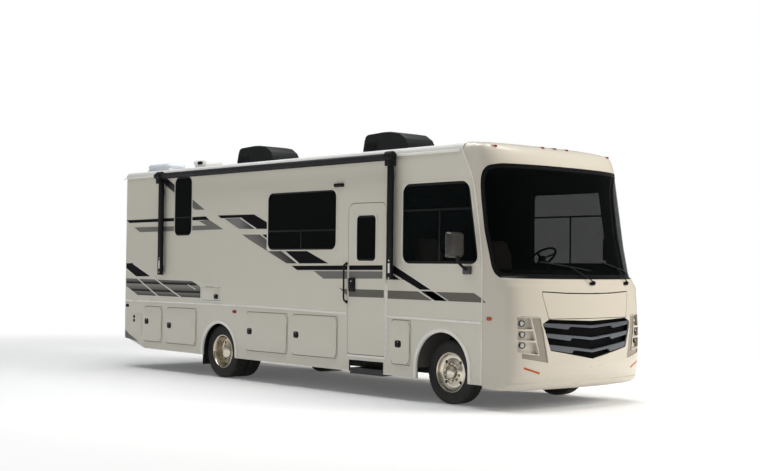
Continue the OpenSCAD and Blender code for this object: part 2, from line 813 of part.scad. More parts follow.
module hood_lid() {
    color(cream) difference() {
        union() {
            intersection() {
                difference() {
                    cap_solid(0, 0, 6, lip_level);
                    cap_solid(hood_thick, 0, 6, lip_level);
                }
                front_prism(hood_outline(0, 0));
            }
            at_hood_hinge() {
                cylinder(h = hinge_len / 2 - 1, r = hood_barrel, center = true, $fn = 32);
                translate([-35, -2, -hinge_len / 4 + 0.5]) cube([35, 8, hinge_len / 2 - 1]);
            }
        }
        at_hood_hinge() cylinder(h = hinge_len, r = pin_r + 0.15, center = true, $fn = 32);
    }
}

module grille() {
    sunk = 18;
    depth = 55;
    middle_z = 848;
    shrink = 0.999;
    color(black) intersection() {
        difference() {
            cap_solid(sunk, 0, 3, 7);
            cap_solid(sunk + depth, 0, 3, 7);
        }
        front_prism([for (p = grille_outline) [p[0] * shrink, middle_z + (p[1] - middle_z) * shrink]]);
    }
}

module headlights() {
    back = cap_x(cap_levels[lamp_level], lamp_y) - lamp_sunk;
    color(bright) for (s = [-1, 1], z = lamp_z) translate([back, s * lamp_y, z]) rotate([0, 90, 0])
        cylinder(h = 60, r = lamp_r, $fn = 48);
}

module tail_lights() {
    color("#7c1618") for (s = [-1, 1]) for (z = [820, 960])
        box([tail_x - 25, s * 1080 - 60, z], [tail_x, s * 1080 + 60, z + 110]);
}

// A window: pane in its opening with a lip that laps the wall outside
module window_unit(w) {
    side_plate(half_w + frame_out, frame_out)
        round_rect(w[0] - frame_lip, w[1] - frame_lip, w[2] + frame_lip, w[3] + frame_lip,
            window_r + frame_lip);
    side_plate(half_w + 1, 20) round_rect(w[0] + 0.5, w[1] + 0.5, w[2] - 0.5, w[3] - 0.5, window_r);
}

module cab_window_unit() {
    side_plate(half_w + 1, 20) polygon([for (p = cab_window)
        [front_x + p[0] + (p[0] < 0 ? 0.5 : -0.5), p[1] + (p[1] < 2000 ? 0.5 : -0.5)]]);
    side_plate(half_w + frame_out, frame_out) polygon([for (p = cab_window)
        [front_x + p[0] + (p[0] < 0 ? -frame_lip : frame_lip * 0.8),
            p[1] + (p[1] < 1800 ? -frame_lip : (p[1] > 2750 ? frame_lip : 0))]]);
}

module side_windows() {
    color(glass) {
        window_unit(living_window);
        window_unit(bedroom_window);
        cab_window_unit();
    }
}

module right_windows() { side_windows(); }
module left_windows() { left() side_windows(); }

module entry_door() {
    color(greige) difference() {
        union() {
            side_plate(half_w, wall_thick) difference() {
                union() {
                    round_rect(door_rear, door_bottom, door_front, door_bottom + door_h, 100);
                    translate([door_rear, door_bottom]) square([door_w, 300]);
                }
                round_rect(door_pane[0], door_pane[1], door_pane[2], door_pane[3], 40);
            }
            at_door_hinge() hinge_leaf();
            box([door_rear + 70, -half_w - 28, 1415], [door_rear + 130, -half_w, 1530]);
        }
        at_door_hinge() hinge_bore();
    }
}

module door_window() {
    w = door_pane;
    color(glass) {
        side_plate(half_w + 6, 6) round_rect(w[0] - 18, w[1] - 18, w[2] + 18, w[3] + 18, 56);
        side_plate(half_w + 1, 20) round_rect(w[0] + 0.5, w[1] + 0.5, w[2] - 0.5, w[3] - 0.5, 40);
    }
}

module bay_door(i) {
    b = bay_x[i];
    color(greige) difference() {
        union() {
            side_plate(half_w, bay_leaf)
                round_rect(b[0] + door_gap, bay_bottom + door_gap, b[1] - door_gap, bay_top - door_gap,
                    bay_r - door_gap);
            at_bay_hinge(i) hinge_leaf();
            box([b[0] + 28, -half_w - 10, (bay_bottom + bay_top) / 2 - 35],
                [b[0] + 68, -half_w, (bay_bottom + bay_top) / 2 + 35]);
        }
        at_bay_hinge(i) hinge_bore();
    }
}

module right_bay_door_1() { bay_door(0); }
module right_bay_door_2() { bay_door(1); }
module right_bay_door_3() { bay_door(2); }
module right_bay_door_4() { bay_door(3); }
module right_bay_door_5() { bay_door(4); }
module left_bay_door_1() { left() bay_door(0); }
module left_bay_door_2() { left() bay_door(1); }
module left_bay_door_3() { left() bay_door(2); }
module left_bay_door_4() { left() bay_door(3); }
module left_bay_door_5() { left() bay_door(4); }

module water_hatch() {
    color(greige) difference() {
        union() {
            side_plate(half_w, bay_leaf) round_rect(hatch[0] + door_gap, hatch[1] + door_gap,
                hatch[2] - door_gap, hatch[3] - door_gap, bay_r - door_gap);
            at_hatch_hinge() hinge_leaf();
        }
        at_hatch_hinge() hinge_bore();
    }
}

// Open trays behind the baggage doors, hung from the floor
module tray(first, last) {
    x0 = bay_x[first][0] - bay_sheet;
    x1 = bay_x[last][1] + bay_sheet;
    inner = -half_w + bay_depth;
    box([x0, -skirt_in, bay_floor_z], [x1, inner, bay_floor_z + bay_sheet]);
    box([x0, inner, bay_floor_z], [x1, inner + bay_sheet, floor_z]);
    box([x0, -skirt_in, bay_floor_z], [x0 + bay_sheet, inner, floor_z]);
    box([x1 - bay_sheet, -skirt_in, bay_floor_z], [x1, inner, floor_z]);
    if (last > first) {
        mid = (bay_x[first][1] + bay_x[last][0]) / 2;
        box([mid - bay_sheet / 2, -skirt_in, bay_floor_z], [mid + bay_sheet / 2, inner, floor_z]);
    }
}

module bay_trays() {
    color("#55524c") {
        tray(0, 1);
        tray(2, 3);
        tray(4, 4);
    }
}

module right_bays() { bay_trays(); }
module left_bays() { left() bay_trays(); }

// Cab furniture
dash_x = front_x + 380;
column = [front_x + 130, 470, 1850];
column_tilt = 40;

module at_column() {
    translate(column) rotate([0, -column_tilt, 0]) children();
}

module dashboard() {
    color("#35332f") {
        across(2 * wall_in - 20) polygon([[dash_x, 1420], [dash_x - 20, 1640], [dash_x + 60, 1700],
            [dash_x + 300, 1660], [front_x + 690, 1580], [front_x + 690, 1400]]);
        for (s = [-1, 1])
            box([dash_x + 120, s * 900 - 60, floor_height], [dash_x + 240, s * 900 + 60, 1450]);
        at_column() {
            translate([0, 0, -420]) cylinder(h = 380, r = 40, $fn = 32);
            translate([0, 0, -60]) cylinder(h = 75, r = 14, $fn = 32);
        }
    }
}

module steering_wheel() {
    rim_r = 215;
    grip = 15;
    color(black) at_column() difference() {
        union() {
            rotate_extrude($fn = 64) translate([rim_r, 0]) circle(grip, $fn = 24);
            for (a = [0, 120, 240]) rotate([0, 0, a + 60]) translate([0, -20, -8]) cube([rim_r, 40, 14]);
            translate([0, 0, -35]) cylinder(h = 60, r = 50, $fn = 48);
        }
        translate([0, 0, -50]) cylinder(h = 66, r = 14 + pin_fit, $fn = 32);
    }
}

seat_x = front_x - 560;
module seat(y) {
    translate([seat_x, y, 0]) {
        box([-150, -150, floor_height], [150, 150, 1360]);
        translate([-250, 0, 1360]) linear_extrude(150) {
            translate([40, -260]) square([440, 520]);
            translate([0, -220]) square([520, 440]);
            for (x = [40, 480], s = [-1, 1]) translate([x, s * 220]) circle(40, $fn = 32);
        }
        translate([0, 260, 0]) rotate([90, 0, 0]) linear_extrude(520)
            polygon([[-250, 1400], [-110, 1511], [-210, 2170], [-330, 2170], [-390, 2100], [-290, 1400]]);
    }
}

module cab_seats() {
    color("#6b655b") for (s = [-1, 1]) seat(s * 690);
}

// Mirror head on its arm, standing off the cab side
module mirror_arm() {
    base = [front_x + 460, 1683];
    color(black) {
        box([base[0] - 65, -half_w - 40, base[1] - 50], [base[0] + 65, -half_w, base[1] + 50]);
        rod_y(base[0], base[1] + 20, 18, -half_w - 260, -half_w - 20);
        translate([base[0], -half_w - 260, base[1]]) cylinder(h = 160, r = 18, $fn = 32);
        translate([base[0] + 15, 0, 0]) box([-50, -half_w - 400, 1820], [50, -half_w - 175, 2155]);
    }
}

module right_mirror() { mirror_arm(); }
module left_mirror() { left() mirror_arm(); }

module wipers() {
    color(black) at_wipers() cylinder(h = 60, r = wiper_r, center = true, $fn = 32);
}

awning_out = 150;
module awning() {
    tube_z = gutter_height - 20;
    x0 = tail_x + 1080;
    x1 = front_x - 820;
    color(black) {
        rod_x(-half_w - awning_out + 45, tube_z, 45, x0, x1);
        for (x = [tail_x + 1180, front_x - 890]) {
            box([x, -half_w - 100, 1555], [x + 120, -half_w - 16, tube_z - 30]);
            box([x + 20, -half_w - 16, 1600], [x + 100, -half_w, 1700]);
            box([x + 20, -half_w - 16, tube_z - 300], [x + 100, -half_w, tube_z - 200]);
            translate([x + 60, -half_w - awning_out + 45, tube_z]) rotate([0, 90, 0])
                cylinder(h = 130, r = 72, center = true, $fn = 48);
        }
    }
}

// Rooftop air conditioners: base pan and a shroud with sloping ends
module air_conditioner(x) {
    roof_top = gutter_height + roof_crown;
    color(black) translate([x, 0, roof_top]) {
        translate([0, 320, 0]) rotate([90, 0, 0]) linear_extrude(640)
            polygon([[-465, 25], [-465, 90], [-400, 300], [-330, 350], [180, 350], [320, 250],
                [465, 90], [465, 25]]);
        box([-180, -180, 0.2], [180, 180, 30]);
    }
}

module air_conditioners() {
    air_conditioner(tail_x + 2285);
    air_conditioner(door_rear - 370);
}

// A vent stands on the crowned roof: its foot follows the crown
module roof_vent(x, length, y, rise) {
    steps = 6;
    lift = 0.3;
    translate([0, 0, gutter_height]) lengthwise(x, length) polygon(concat(
        [for (i = [0 : steps]) let (u = y[0] + (y[1] - y[0]) * i / steps) [u, crown(u) + lift]],
        [[y[1], crown(y[1]) + rise], [y[0], crown(y[1]) + rise]]));
}

module roof_vents() {
    color("#e8e8e4") {
        roof_vent(tail_x + 90, 560, [-950, -590], 120);
        roof_vent(tail_x + 1490, 350, [-940, -600], 150);
    }
}

chassis_frame();
front_axle();
right_knuckle();
left_knuckle();
right_front_wheel();
left_front_wheel();
rear_axle();
right_rear_wheels();
left_rear_wheels();
leaf_springs();
drive_shaft();
engine();
fuel_tank();
exhaust();
rear_bumper();
mud_flaps();
floor();
engine_cover();
right_wall();
right_skirt();
left_wall();
left_skirt();
rear_wall();
roof();
front_cap();
windshield();
hood_lid();
grille();
headlights();
tail_lights();
right_windows();
left_windows();
entry_door();
door_window();
entry_step();
dashboard();
steering_wheel();
cab_seats();
right_mirror();
left_mirror();
wipers();
awning();
air_conditioners();
roof_vents();
right_bays();
left_bays();
water_hatch();
right_bay_door_1();
right_bay_door_2();
right_bay_door_3();
right_bay_door_4();
right_bay_door_5();
left_bay_door_1();
left_bay_door_2();
left_bay_door_3();
left_bay_door_4();
left_bay_door_5();
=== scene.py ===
# Class A motorhome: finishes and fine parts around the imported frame. Metres, X forward, Y left, Z up.
import json
import math

import bpy
from mathutils import Matrix, Vector

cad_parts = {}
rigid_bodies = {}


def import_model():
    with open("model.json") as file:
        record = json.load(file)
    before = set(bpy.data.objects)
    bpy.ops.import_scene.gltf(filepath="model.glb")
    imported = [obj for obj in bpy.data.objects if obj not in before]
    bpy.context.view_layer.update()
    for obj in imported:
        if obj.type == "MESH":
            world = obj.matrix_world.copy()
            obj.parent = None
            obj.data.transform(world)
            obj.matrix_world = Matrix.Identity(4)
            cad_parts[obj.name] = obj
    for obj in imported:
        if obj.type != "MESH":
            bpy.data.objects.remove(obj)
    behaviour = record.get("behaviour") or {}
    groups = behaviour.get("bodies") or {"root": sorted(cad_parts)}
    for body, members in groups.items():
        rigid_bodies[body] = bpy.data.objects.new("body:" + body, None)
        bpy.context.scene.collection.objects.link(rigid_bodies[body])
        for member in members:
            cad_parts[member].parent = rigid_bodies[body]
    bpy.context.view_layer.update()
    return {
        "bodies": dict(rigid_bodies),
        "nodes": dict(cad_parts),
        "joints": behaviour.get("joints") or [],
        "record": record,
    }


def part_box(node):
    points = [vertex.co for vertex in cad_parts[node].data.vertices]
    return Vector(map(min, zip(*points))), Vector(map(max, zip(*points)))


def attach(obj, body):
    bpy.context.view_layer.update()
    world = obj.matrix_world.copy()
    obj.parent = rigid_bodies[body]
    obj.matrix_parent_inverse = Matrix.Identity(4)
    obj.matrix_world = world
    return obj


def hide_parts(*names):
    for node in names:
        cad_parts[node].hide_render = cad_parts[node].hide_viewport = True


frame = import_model()
cadNodes = frame["nodes"]


def middleOf(node):
    low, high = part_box(node)
    return (low + high) / 2


frontHub = middleOf("right_front_wheel")
rearHub = middleOf("right_rear_wheels")
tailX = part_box("rear_wall")[0].x
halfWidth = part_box("rear_wall")[1].y
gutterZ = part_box("rear_wall")[1].z
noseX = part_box("front_cap")[1].x
frontX, rearX, hubZ = frontHub.x, rearHub.x, frontHub.z
print("frame loaded:", len(cadNodes), "nodes")


# modelling helpers
def clearSelection():
    if bpy.context.object and bpy.context.object.mode != "OBJECT":
        bpy.ops.object.mode_set(mode="OBJECT")
    bpy.ops.object.select_all(action="DESELECT")


def pick(*things):
    clearSelection()
    for thing in things:
        thing.select_set(True)
    bpy.context.view_layer.objects.active = things[0]
    return things[0]


def editAll(thing):
    pick(thing)
    bpy.ops.object.mode_set(mode="EDIT")
    bpy.ops.mesh.select_all(action="SELECT")


def objectMode():
    bpy.ops.object.mode_set(mode="OBJECT")


def named(thing, name, material=None):
    thing.name = name
    thing.data.name = name
    if material:
        thing.data.materials.clear()
        thing.data.materials.append(material)
    return thing


def settle(thing):
    pick(thing)
    bpy.ops.object.transform_apply(location=True, rotation=True, scale=True)
    return thing


def modify(thing, kind, **settings):
    pick(thing)
    modifier = thing.modifiers.new(kind.title(), kind)
    for key, value in settings.items():
        setattr(modifier, key, value)
    bpy.ops.object.modifier_apply(modifier=modifier.name)
    return thing


def smooth(thing, degrees=32):
    pick(thing)
    bpy.ops.object.shade_smooth_by_angle(angle=math.radians(degrees))
    return thing


def outwards(thing):
    editAll(thing)
    bpy.ops.mesh.remove_doubles(threshold=0.00005)
    bpy.ops.mesh.select_all(action="SELECT")
    bpy.ops.mesh.normals_make_consistent(inside=False)
    objectMode()
    return thing


def softEdges(thing, width=0.003, segments=2, degrees=30):
    modify(thing, "BEVEL", width=width, segments=segments, limit_method="ANGLE",
           angle_limit=math.radians(degrees), harden_normals=False)
    return smooth(thing)


def onPlane(point, at, facing):
    a, b = point
    return {"x": (at, a, b), "y": (a, at, b), "z": (a, b, at)}[facing]


def drawOutline(outline, at, facing):
    clearSelection()
    bpy.ops.mesh.primitive_circle_add(vertices=len(outline), fill_type="NGON")
    sheet = bpy.context.object
    for corner, point in zip(sheet.data.vertices, outline):
        corner.co = onPlane(point, at, facing)
    return sheet


def extrudeAll(sheet, thick, facing):
    bpy.ops.mesh.select_all(action="SELECT")
    bpy.ops.mesh.extrude_region_move(TRANSFORM_OT_translate={"value": onPlane((0, 0), thick, facing)})
    bpy.ops.mesh.select_all(action="SELECT")
    bpy.ops.mesh.normals_make_consistent(inside=False)
    objectMode()
    return sheet


def plate(outline, at, thick, facing="y", corner=0.0, turns=6, edge=0.0):
    sheet = drawOutline(outline, at, facing)
    editAll(sheet)
    if corner:
        bpy.ops.mesh.bevel(offset=corner, segments=turns, affect="VERTICES")
    extrudeAll(sheet, thick, facing)
    return softEdges(sheet, edge) if edge else sheet


def ring(outline, at, thick, width, facing="y", corner=0.0, turns=6, edge=0.0):
    sheet = drawOutline(outline, at, facing)
    editAll(sheet)
    if corner:
        bpy.ops.mesh.bevel(offset=corner, segments=turns, affect="VERTICES")
        bpy.ops.mesh.select_all(action="SELECT")
    bpy.ops.mesh.inset(thickness=width)
    bpy.ops.mesh.delete(type="FACE")
    extrudeAll(sheet, thick, facing)
    return softEdges(sheet, edge) if edge else sheet


def rectangle(a0, b0, a1, b1):
    return [(a0, b0), (a1, b0), (a1, b1), (a0, b1)]


def block(low, high, edge=0.003, segments=2):
    clearSelection()
    low, high = Vector(low), Vector(high)
    bpy.ops.mesh.primitive_cube_add(size=1, location=(low + high) / 2, scale=high - low)
    return softEdges(settle(bpy.context.object), edge, segments)


def rod(start, end, radius, sides=24, edge=0.0):
    clearSelection()
    start, end = Vector(start), Vector(end)
    run = end - start
    bpy.ops.mesh.primitive_cylinder_add(vertices=sides, radius=radius, depth=run.length,
                                        location=(start + end) / 2,
                                        rotation=run.to_track_quat("Z", "Y").to_euler())
    thing = settle(bpy.context.object)
    return softEdges(thing, edge) if edge else smooth(thing)


def turned(profile, centre, steps=64, axis=(0, 1, 0), degrees=30):
    clearSelection()
    bpy.ops.mesh.primitive_circle_add(vertices=len(profile), fill_type="NOTHING")
    lathe = bpy.context.object
    along = Vector(axis)
    across = Vector((0, 0, 1)) if abs(along.z) < 0.9 else Vector((1, 0, 0))
    across = (across - along * across.dot(along)).normalized()
    for corner, (radius, height) in zip(lathe.data.vertices, profile):
        corner.co = Vector(centre) + across * radius + along * height
    editAll(lathe)
    bpy.ops.mesh.spin(steps=steps, angle=2 * math.pi, center=centre, axis=axis)
    objectMode()
    return smooth(outwards(lathe), degrees)


def tube(points, radius, order=3, sides=3):
    clearSelection()
    bpy.ops.curve.primitive_nurbs_path_add()
    path = bpy.context.object
    line = path.data
    line.splines.clear()
    spline = line.splines.new("NURBS")
    spline.points.add(len(points) - 1)
    for knot, point in zip(spline.points, points):
        knot.co = (*point, 1)
    spline.order_u = min(order, len(points))
    spline.use_endpoint_u = True
    spline.resolution_u = 6
    line.bevel_depth = radius
    line.bevel_resolution = sides
    line.use_fill_caps = True
    settle(path)
    pick(path)
    bpy.ops.object.convert(target="MESH")
    return smooth(outwards(bpy.context.object), 40)


def cut(thing, cutter, operation="DIFFERENCE"):
    modify(thing, "BOOLEAN", operation=operation, solver="MANIFOLD", object=cutter)
    if not len(thing.data.polygons):
        raise SystemExit("boolean left nothing of " + thing.name)
    bpy.data.objects.remove(cutter)
    return thing


def joined(things):
    first = pick(*things)
    if len(things) > 1:
        bpy.ops.object.join()
    return first


def copied(thing, move=(0, 0, 0)):
    pick(thing)
    bpy.ops.object.duplicate()
    twin = bpy.context.object
    twin.location = Vector(twin.location) + Vector(move)
    return settle(twin)


def mirrored(thing):
    pick(thing)
    bpy.ops.object.duplicate()
    twin = bpy.context.object
    twin.scale.y = -1
    settle(twin)
    return outwards(twin)


def otherSide(thing):
    twin = mirrored(thing)
    bpy.data.objects.remove(thing)
    return twin


def place(thing, name, body, material, slot=None, stands=()):
    named(thing, name, material)
    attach(thing, body)
    if stands:
        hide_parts(*stands)
    return thing


def bothSides(thing, name, body, material, slot=None, stands=()):
    other = mirrored(thing)
    place(thing, "right_" + name, body[0], material, slot, stands[:1])
    place(other, "left_" + name, body[-1], material, slot, stands[1:])


# finishes
def shaderOf(name):
    material = bpy.data.materials.new(name)
    material.use_nodes = True
    return material, material.node_tree, material.node_tree.nodes["Principled BSDF"]


def add(tree, kind, **inputs):
    node = tree.nodes.new("ShaderNode" + kind)
    for key, value in inputs.items():
        node.inputs[key.replace("_", " ")].default_value = value
    return node


def objectPlace(tree, stretch=(1, 1, 1)):
    place = add(tree, "TexCoord")
    mapping = add(tree, "Mapping", Scale=stretch)
    tree.links.new(place.outputs["Object"], mapping.inputs["Vector"])
    return mapping.outputs["Vector"]


def objectAxes(tree):
    place = add(tree, "TexCoord")
    split = add(tree, "SeparateXYZ")
    tree.links.new(place.outputs["Object"], split.inputs[0])
    return split.outputs


def mathNode(tree, operation, first, second, third=None):
    node = tree.nodes.new("ShaderNodeMath")
    node.operation = operation
    for slot, value in enumerate((first, second, third)):
        if value is None:
            continue
        if isinstance(value, (int, float)):
            node.inputs[slot].default_value = value
        else:
            tree.links.new(value, node.inputs[slot])
    return node.outputs[0]


def mixColours(tree, share, first, second):
    node = tree.nodes.new("ShaderNodeMix")
    node.data_type = "RGBA"
    for slot, value in ((0, share), (6, first), (7, second)):
        if isinstance(value, (int, float)):
            node.inputs[slot].default_value = value
        elif isinstance(value, tuple):
            node.inputs[slot].default_value = (*value[:3], 1)
        else:
            tree.links.new(value, node.inputs[slot])
    return node.outputs[2]


def shadeOf(colour, factor):
    return tuple(min(1.0, c * factor) for c in colour)


def finish(name, colour, rough, metal=0.0, mottle=0.06, mottleScale=3.0, grain=0.0, grainScale=200.0,
           roughSpread=0.05, coat=0.0, coatRough=0.08, alpha=1.0, specular=0.5, dust=None):
    material, tree, shader = shaderOf(name)
    vector = objectPlace(tree)
    clouds = add(tree, "TexNoise", Scale=mottleScale, Detail=5.0, Roughness=0.6)
    tree.links.new(vector, clouds.inputs["Vector"])
    base = mixColours(tree, clouds.outputs["Fac"], shadeOf(colour, 1 - mottle), shadeOf(colour, 1 + mottle))
    if dust:
        base = addDust(tree, base, dust)
    tree.links.new(base, shader.inputs["Base Color"])
    spread = add(tree, "MapRange", From_Min=0.3, From_Max=0.7, To_Min=max(0.0, rough - roughSpread),
                 To_Max=min(1.0, rough + roughSpread))
    tree.links.new(clouds.outputs["Fac"], spread.inputs["Value"])
    tree.links.new(spread.outputs["Result"], shader.inputs["Roughness"])
    shader.inputs["Metallic"].default_value = metal
    shader.inputs["Coat Weight"].default_value = coat
    shader.inputs["Coat Roughness"].default_value = coatRough
    shader.inputs["Specular IOR Level"].default_value = specular
    shader.inputs["Alpha"].default_value = alpha
    shader.inputs["IOR"].default_value = 1.45
    if grain:
        fine = add(tree, "TexNoise", Scale=grainScale, Detail=3.0)
        tree.links.new(vector, fine.inputs["Vector"])
        bump = add(tree, "Bump", Strength=min(1.0, grain), Distance=0.0006)
        tree.links.new(fine.outputs["Fac"], bump.inputs["Height"])
        tree.links.new(bump.outputs["Normal"], shader.inputs["Normal"])
    return material


def addDust(tree, base, dust):
    axes = objectAxes(tree)
    low = add(tree, "MapRange", From_Min=dust["top"], From_Max=dust["bottom"], To_Min=0.0, To_Max=1.0)
    tree.links.new(axes["Z"], low.inputs["Value"])
    patches = add(tree, "TexNoise", Scale=dust["scale"], Detail=6.0)
    tree.links.new(objectPlace(tree), patches.inputs["Vector"])
    share = mathNode(tree, "MULTIPLY", low.outputs["Result"], patches.outputs["Fac"])
    share = mathNode(tree, "MULTIPLY", share, dust["amount"])
    return mixColours(tree, share, base, dust["colour"])


# side and front are one paint in two copies: the side copy is lighter and the front copy darker, painted light
# standing for the shaded side and the strongly lit front
paintLook = {
    "side": (0.630, 0.598, 0.512),
    "front": (0.562, 0.517, 0.437),
    # lining: near-black, a dark lining that also serves as painted shade for the unlit inside
    "liningShade": (0.030, 0.028, 0.026),
    "rough": 0.30,
    "coat": 0.35,
    "dust": {"top": 0.62, "bottom": 0.25, "scale": 9.0, "amount": 0.15, "colour": (0.36, 0.32, 0.26)},
}


def wallPaint(name, colour):
    material = finish(name, colour, paintLook["rough"], mottle=0.008, mottleScale=0.6, grain=0.10,
                      grainScale=55.0, roughSpread=0.01, coat=paintLook["coat"], coatRough=0.12,
                      dust=paintLook["dust"])
    tree = material.node_tree
    shader = tree.nodes["Principled BSDF"]
    painted = shader.inputs["Base Color"].links[0].from_socket
    # faces inside the body are coloured near-black: painted shade for the unlit inside seen through the arches and
    # openings
    axes = objectAxes(tree)
    aside = mathNode(tree, "ABSOLUTE", axes["Y"], 0.0)
    within = mathNode(tree, "LESS_THAN", aside, halfWidth - 0.006)
    behind = mathNode(tree, "GREATER_THAN", axes["X"], tailX + 0.02)
    inside = mathNode(tree, "MULTIPLY", within, behind)
    linedShade = mixColours(tree, inside, painted, paintLook["liningShade"])
    tree.links.new(linedShade, shader.inputs["Base Color"])
    return material


# the walls take the lighter copy and the cap the darker one: painted light, not a two-tone finish
bodyPaintLightened = wallPaint("bodyPaintLightened", paintLook["side"])
capPaintDarkened = finish("capPaintDarkened", paintLook["front"], paintLook["rough"], mottle=0.018, mottleScale=0.9,
                  grain=0.12, grainScale=55.0, roughSpread=0.01, coat=paintLook["coat"], coatRough=0.12,
                  dust=paintLook["dust"])
# near-black inner lining: painted shade for the unlit inside of the cab and body
liningShade = finish("darkLiningShade", paintLook["liningShade"], 0.9, mottle=0.2, mottleScale=20, grain=0.5)
trimWhite = finish("trimWhite", (0.80, 0.78, 0.73), 0.35, mottle=0.03, coat=0.2)
roofMembrane = finish("roofMembrane", (0.60, 0.595, 0.57), 0.55, mottle=0.05, mottleScale=2.2, grain=0.6,
                      grainScale=160)
blackGloss = finish("blackGloss", (0.007, 0.007, 0.008), 0.24, mottle=0.15, roughSpread=0.06, specular=0.16)
blackSatin = finish("blackSatin", (0.009, 0.009, 0.010), 0.42, mottle=0.2, grain=0.25, grainScale=420,
                    specular=0.16)
blackPlastic = finish("blackPlastic", (0.014, 0.014, 0.015), 0.6, mottle=0.2, grain=0.6, grainScale=600,
                      specular=0.2)
shroudCharcoal = finish("shroudCharcoal", (0.011, 0.0115, 0.012), 0.45, mottle=0.15, grain=0.4,
                        grainScale=420, specular=0.18)
frameBlack = finish("frameBlack", (0.028, 0.028, 0.030), 0.5, mottle=0.3, mottleScale=8, grain=0.5,
                    grainScale=150)
castIron = finish("castIron", (0.13, 0.13, 0.135), 0.62, 0.55, mottle=0.25, mottleScale=16, grain=0.9)
tankPlastic = finish("tankPlastic", (0.02, 0.02, 0.021), 0.6, mottle=0.3, mottleScale=6, grain=0.5)
exhaustSteel = finish("exhaustSteel", (0.32, 0.29, 0.25), 0.42, 0.9, mottle=0.3, mottleScale=9,
                      roughSpread=0.15, grain=0.3)
rubberBlack = finish("rubberBlack", (0.021, 0.020, 0.019), 0.78, mottle=0.22, mottleScale=14, grain=0.7,
                     grainScale=320, dust={"top": 0.2, "bottom": 0.0, "scale": 24.0, "amount": 0.3,
                                           "colour": (0.12, 0.105, 0.085)})
stainless = finish("stainless", (0.68, 0.625, 0.530), 0.20, 1.0, mottle=0.05, mottleScale=7,
                   roughSpread=0.04)
chrome = finish("chrome", (0.82, 0.82, 0.82), 0.07, 1.0, mottle=0.03, roughSpread=0.02)
carpet = finish("carpet", (0.055, 0.050, 0.045), 0.95, mottle=0.35, mottleScale=90, grain=1.0,
                grainScale=900)
trayBoard = finish("trayBoard", (0.14, 0.13, 0.115), 0.85, mottle=0.25, mottleScale=12, grain=0.9,
                   grainScale=420)
cabPlastic = finish("cabPlastic", (0.032, 0.030, 0.028), 0.65, mottle=0.15, grain=0.8, grainScale=520)
seatHide = finish("seatHide", (0.16, 0.135, 0.11), 0.55, mottle=0.2, mottleScale=11, grain=0.9,
                  grainScale=260)
amberLens = finish("amberLens", (0.42, 0.070, 0.008), 0.28, mottle=0.12, mottleScale=40, grain=0.6,
                   grainScale=180, coat=0.2, specular=0.3)
redLens = finish("redLens", (0.24, 0.010, 0.008), 0.25, mottle=0.15, mottleScale=50, grain=0.6,
                 grainScale=180, coat=0.3, specular=0.3)
clearLens = finish("clearLens", (0.85, 0.86, 0.88), 0.05, mottle=0.02, alpha=0.30, coat=0.5)
# taupe accent of the lamp strips, also used as painted shade for the pod brow
taupeAndShade = finish("taupeAccentAndShade", (0.27, 0.242, 0.195), 0.42, mottle=0.05, coat=0.2)
slate = finish("slateMetallic", (0.098, 0.107, 0.122), 0.38, 0.25, mottle=0.08, mottleScale=5, coat=0.3)
ventWhite = finish("ventWhite", (0.80, 0.80, 0.785), 0.42, mottle=0.04, grain=0.3)
domeWhite = finish("domeWhite", (0.70, 0.75, 0.82), 0.25, mottle=0.03, alpha=0.92)
darkGlass = finish("darkGlass", (0.004, 0.005, 0.005), 0.05, mottle=0.1, roughSpread=0.01, alpha=0.96,
                   specular=0.07)
cabGlass = finish("cabGlass", (0.004, 0.006, 0.006), 0.05, mottle=0.1, roughSpread=0.01, alpha=0.57,
                  specular=0.09)
screenGlass = finish("screenGlass", (0.003, 0.004, 0.004), 0.04, mottle=0.1, roughSpread=0.01, alpha=0.50,
                     specular=0.03)
decalBlack = finish("decalBlack", (0.007, 0.006, 0.008), 0.45, mottle=0.12, mottleScale=4, specular=0.05)
# grey print, also used for the painted shade at the lower rear corner
decalGreyAndShade = finish("decalGreyAndShade", (0.165, 0.160, 0.150), 0.42, mottle=0.05, mottleScale=4, specular=0.2)
decalPale = finish("decalPale", (0.66, 0.64, 0.58), 0.38, mottle=0.03, coat=0.2)


def fade(name, axis, start, end, first, last, slope=0.0):
    material = finish(name, first, 0.38, mottle=0.05, mottleScale=4, specular=0.2)
    tree = material.node_tree
    shader = tree.nodes["Principled BSDF"]
    axes = objectAxes(tree)
    along = axes[axis]
    if slope:
        along = mathNode(tree, "MULTIPLY_ADD", axes["Z"], slope, along)
    share = add(tree, "MapRange", From_Min=start, From_Max=end, To_Min=0.0, To_Max=1.0)
    tree.links.new(along, share.inputs["Value"])
    tree.links.new(mixColours(tree, share.outputs["Result"], first, last), shader.inputs["Base Color"])
    return material


def banded(name, start, end, stops):
    material = finish(name, stops[0][1], 0.42, mottle=0.05, mottleScale=4, specular=0.2)
    tree = material.node_tree
    axes = objectAxes(tree)
    share = add(tree, "MapRange", From_Min=start, From_Max=end, To_Min=0.0, To_Max=1.0)
    tree.links.new(axes["Z"], share.inputs["Value"])
    ramp = add(tree, "ValToRGB")
    marks = ramp.color_ramp.elements
    for i, (at, colour) in enumerate(stops):
        mark = marks[i] if i < 2 else marks.new(at)
        mark.position, mark.color = at, (*colour, 1)
    tree.links.new(share.outputs["Result"], ramp.inputs["Fac"])
    tree.links.new(ramp.outputs["Color"], tree.nodes["Principled BSDF"].inputs["Base Color"])
    return material


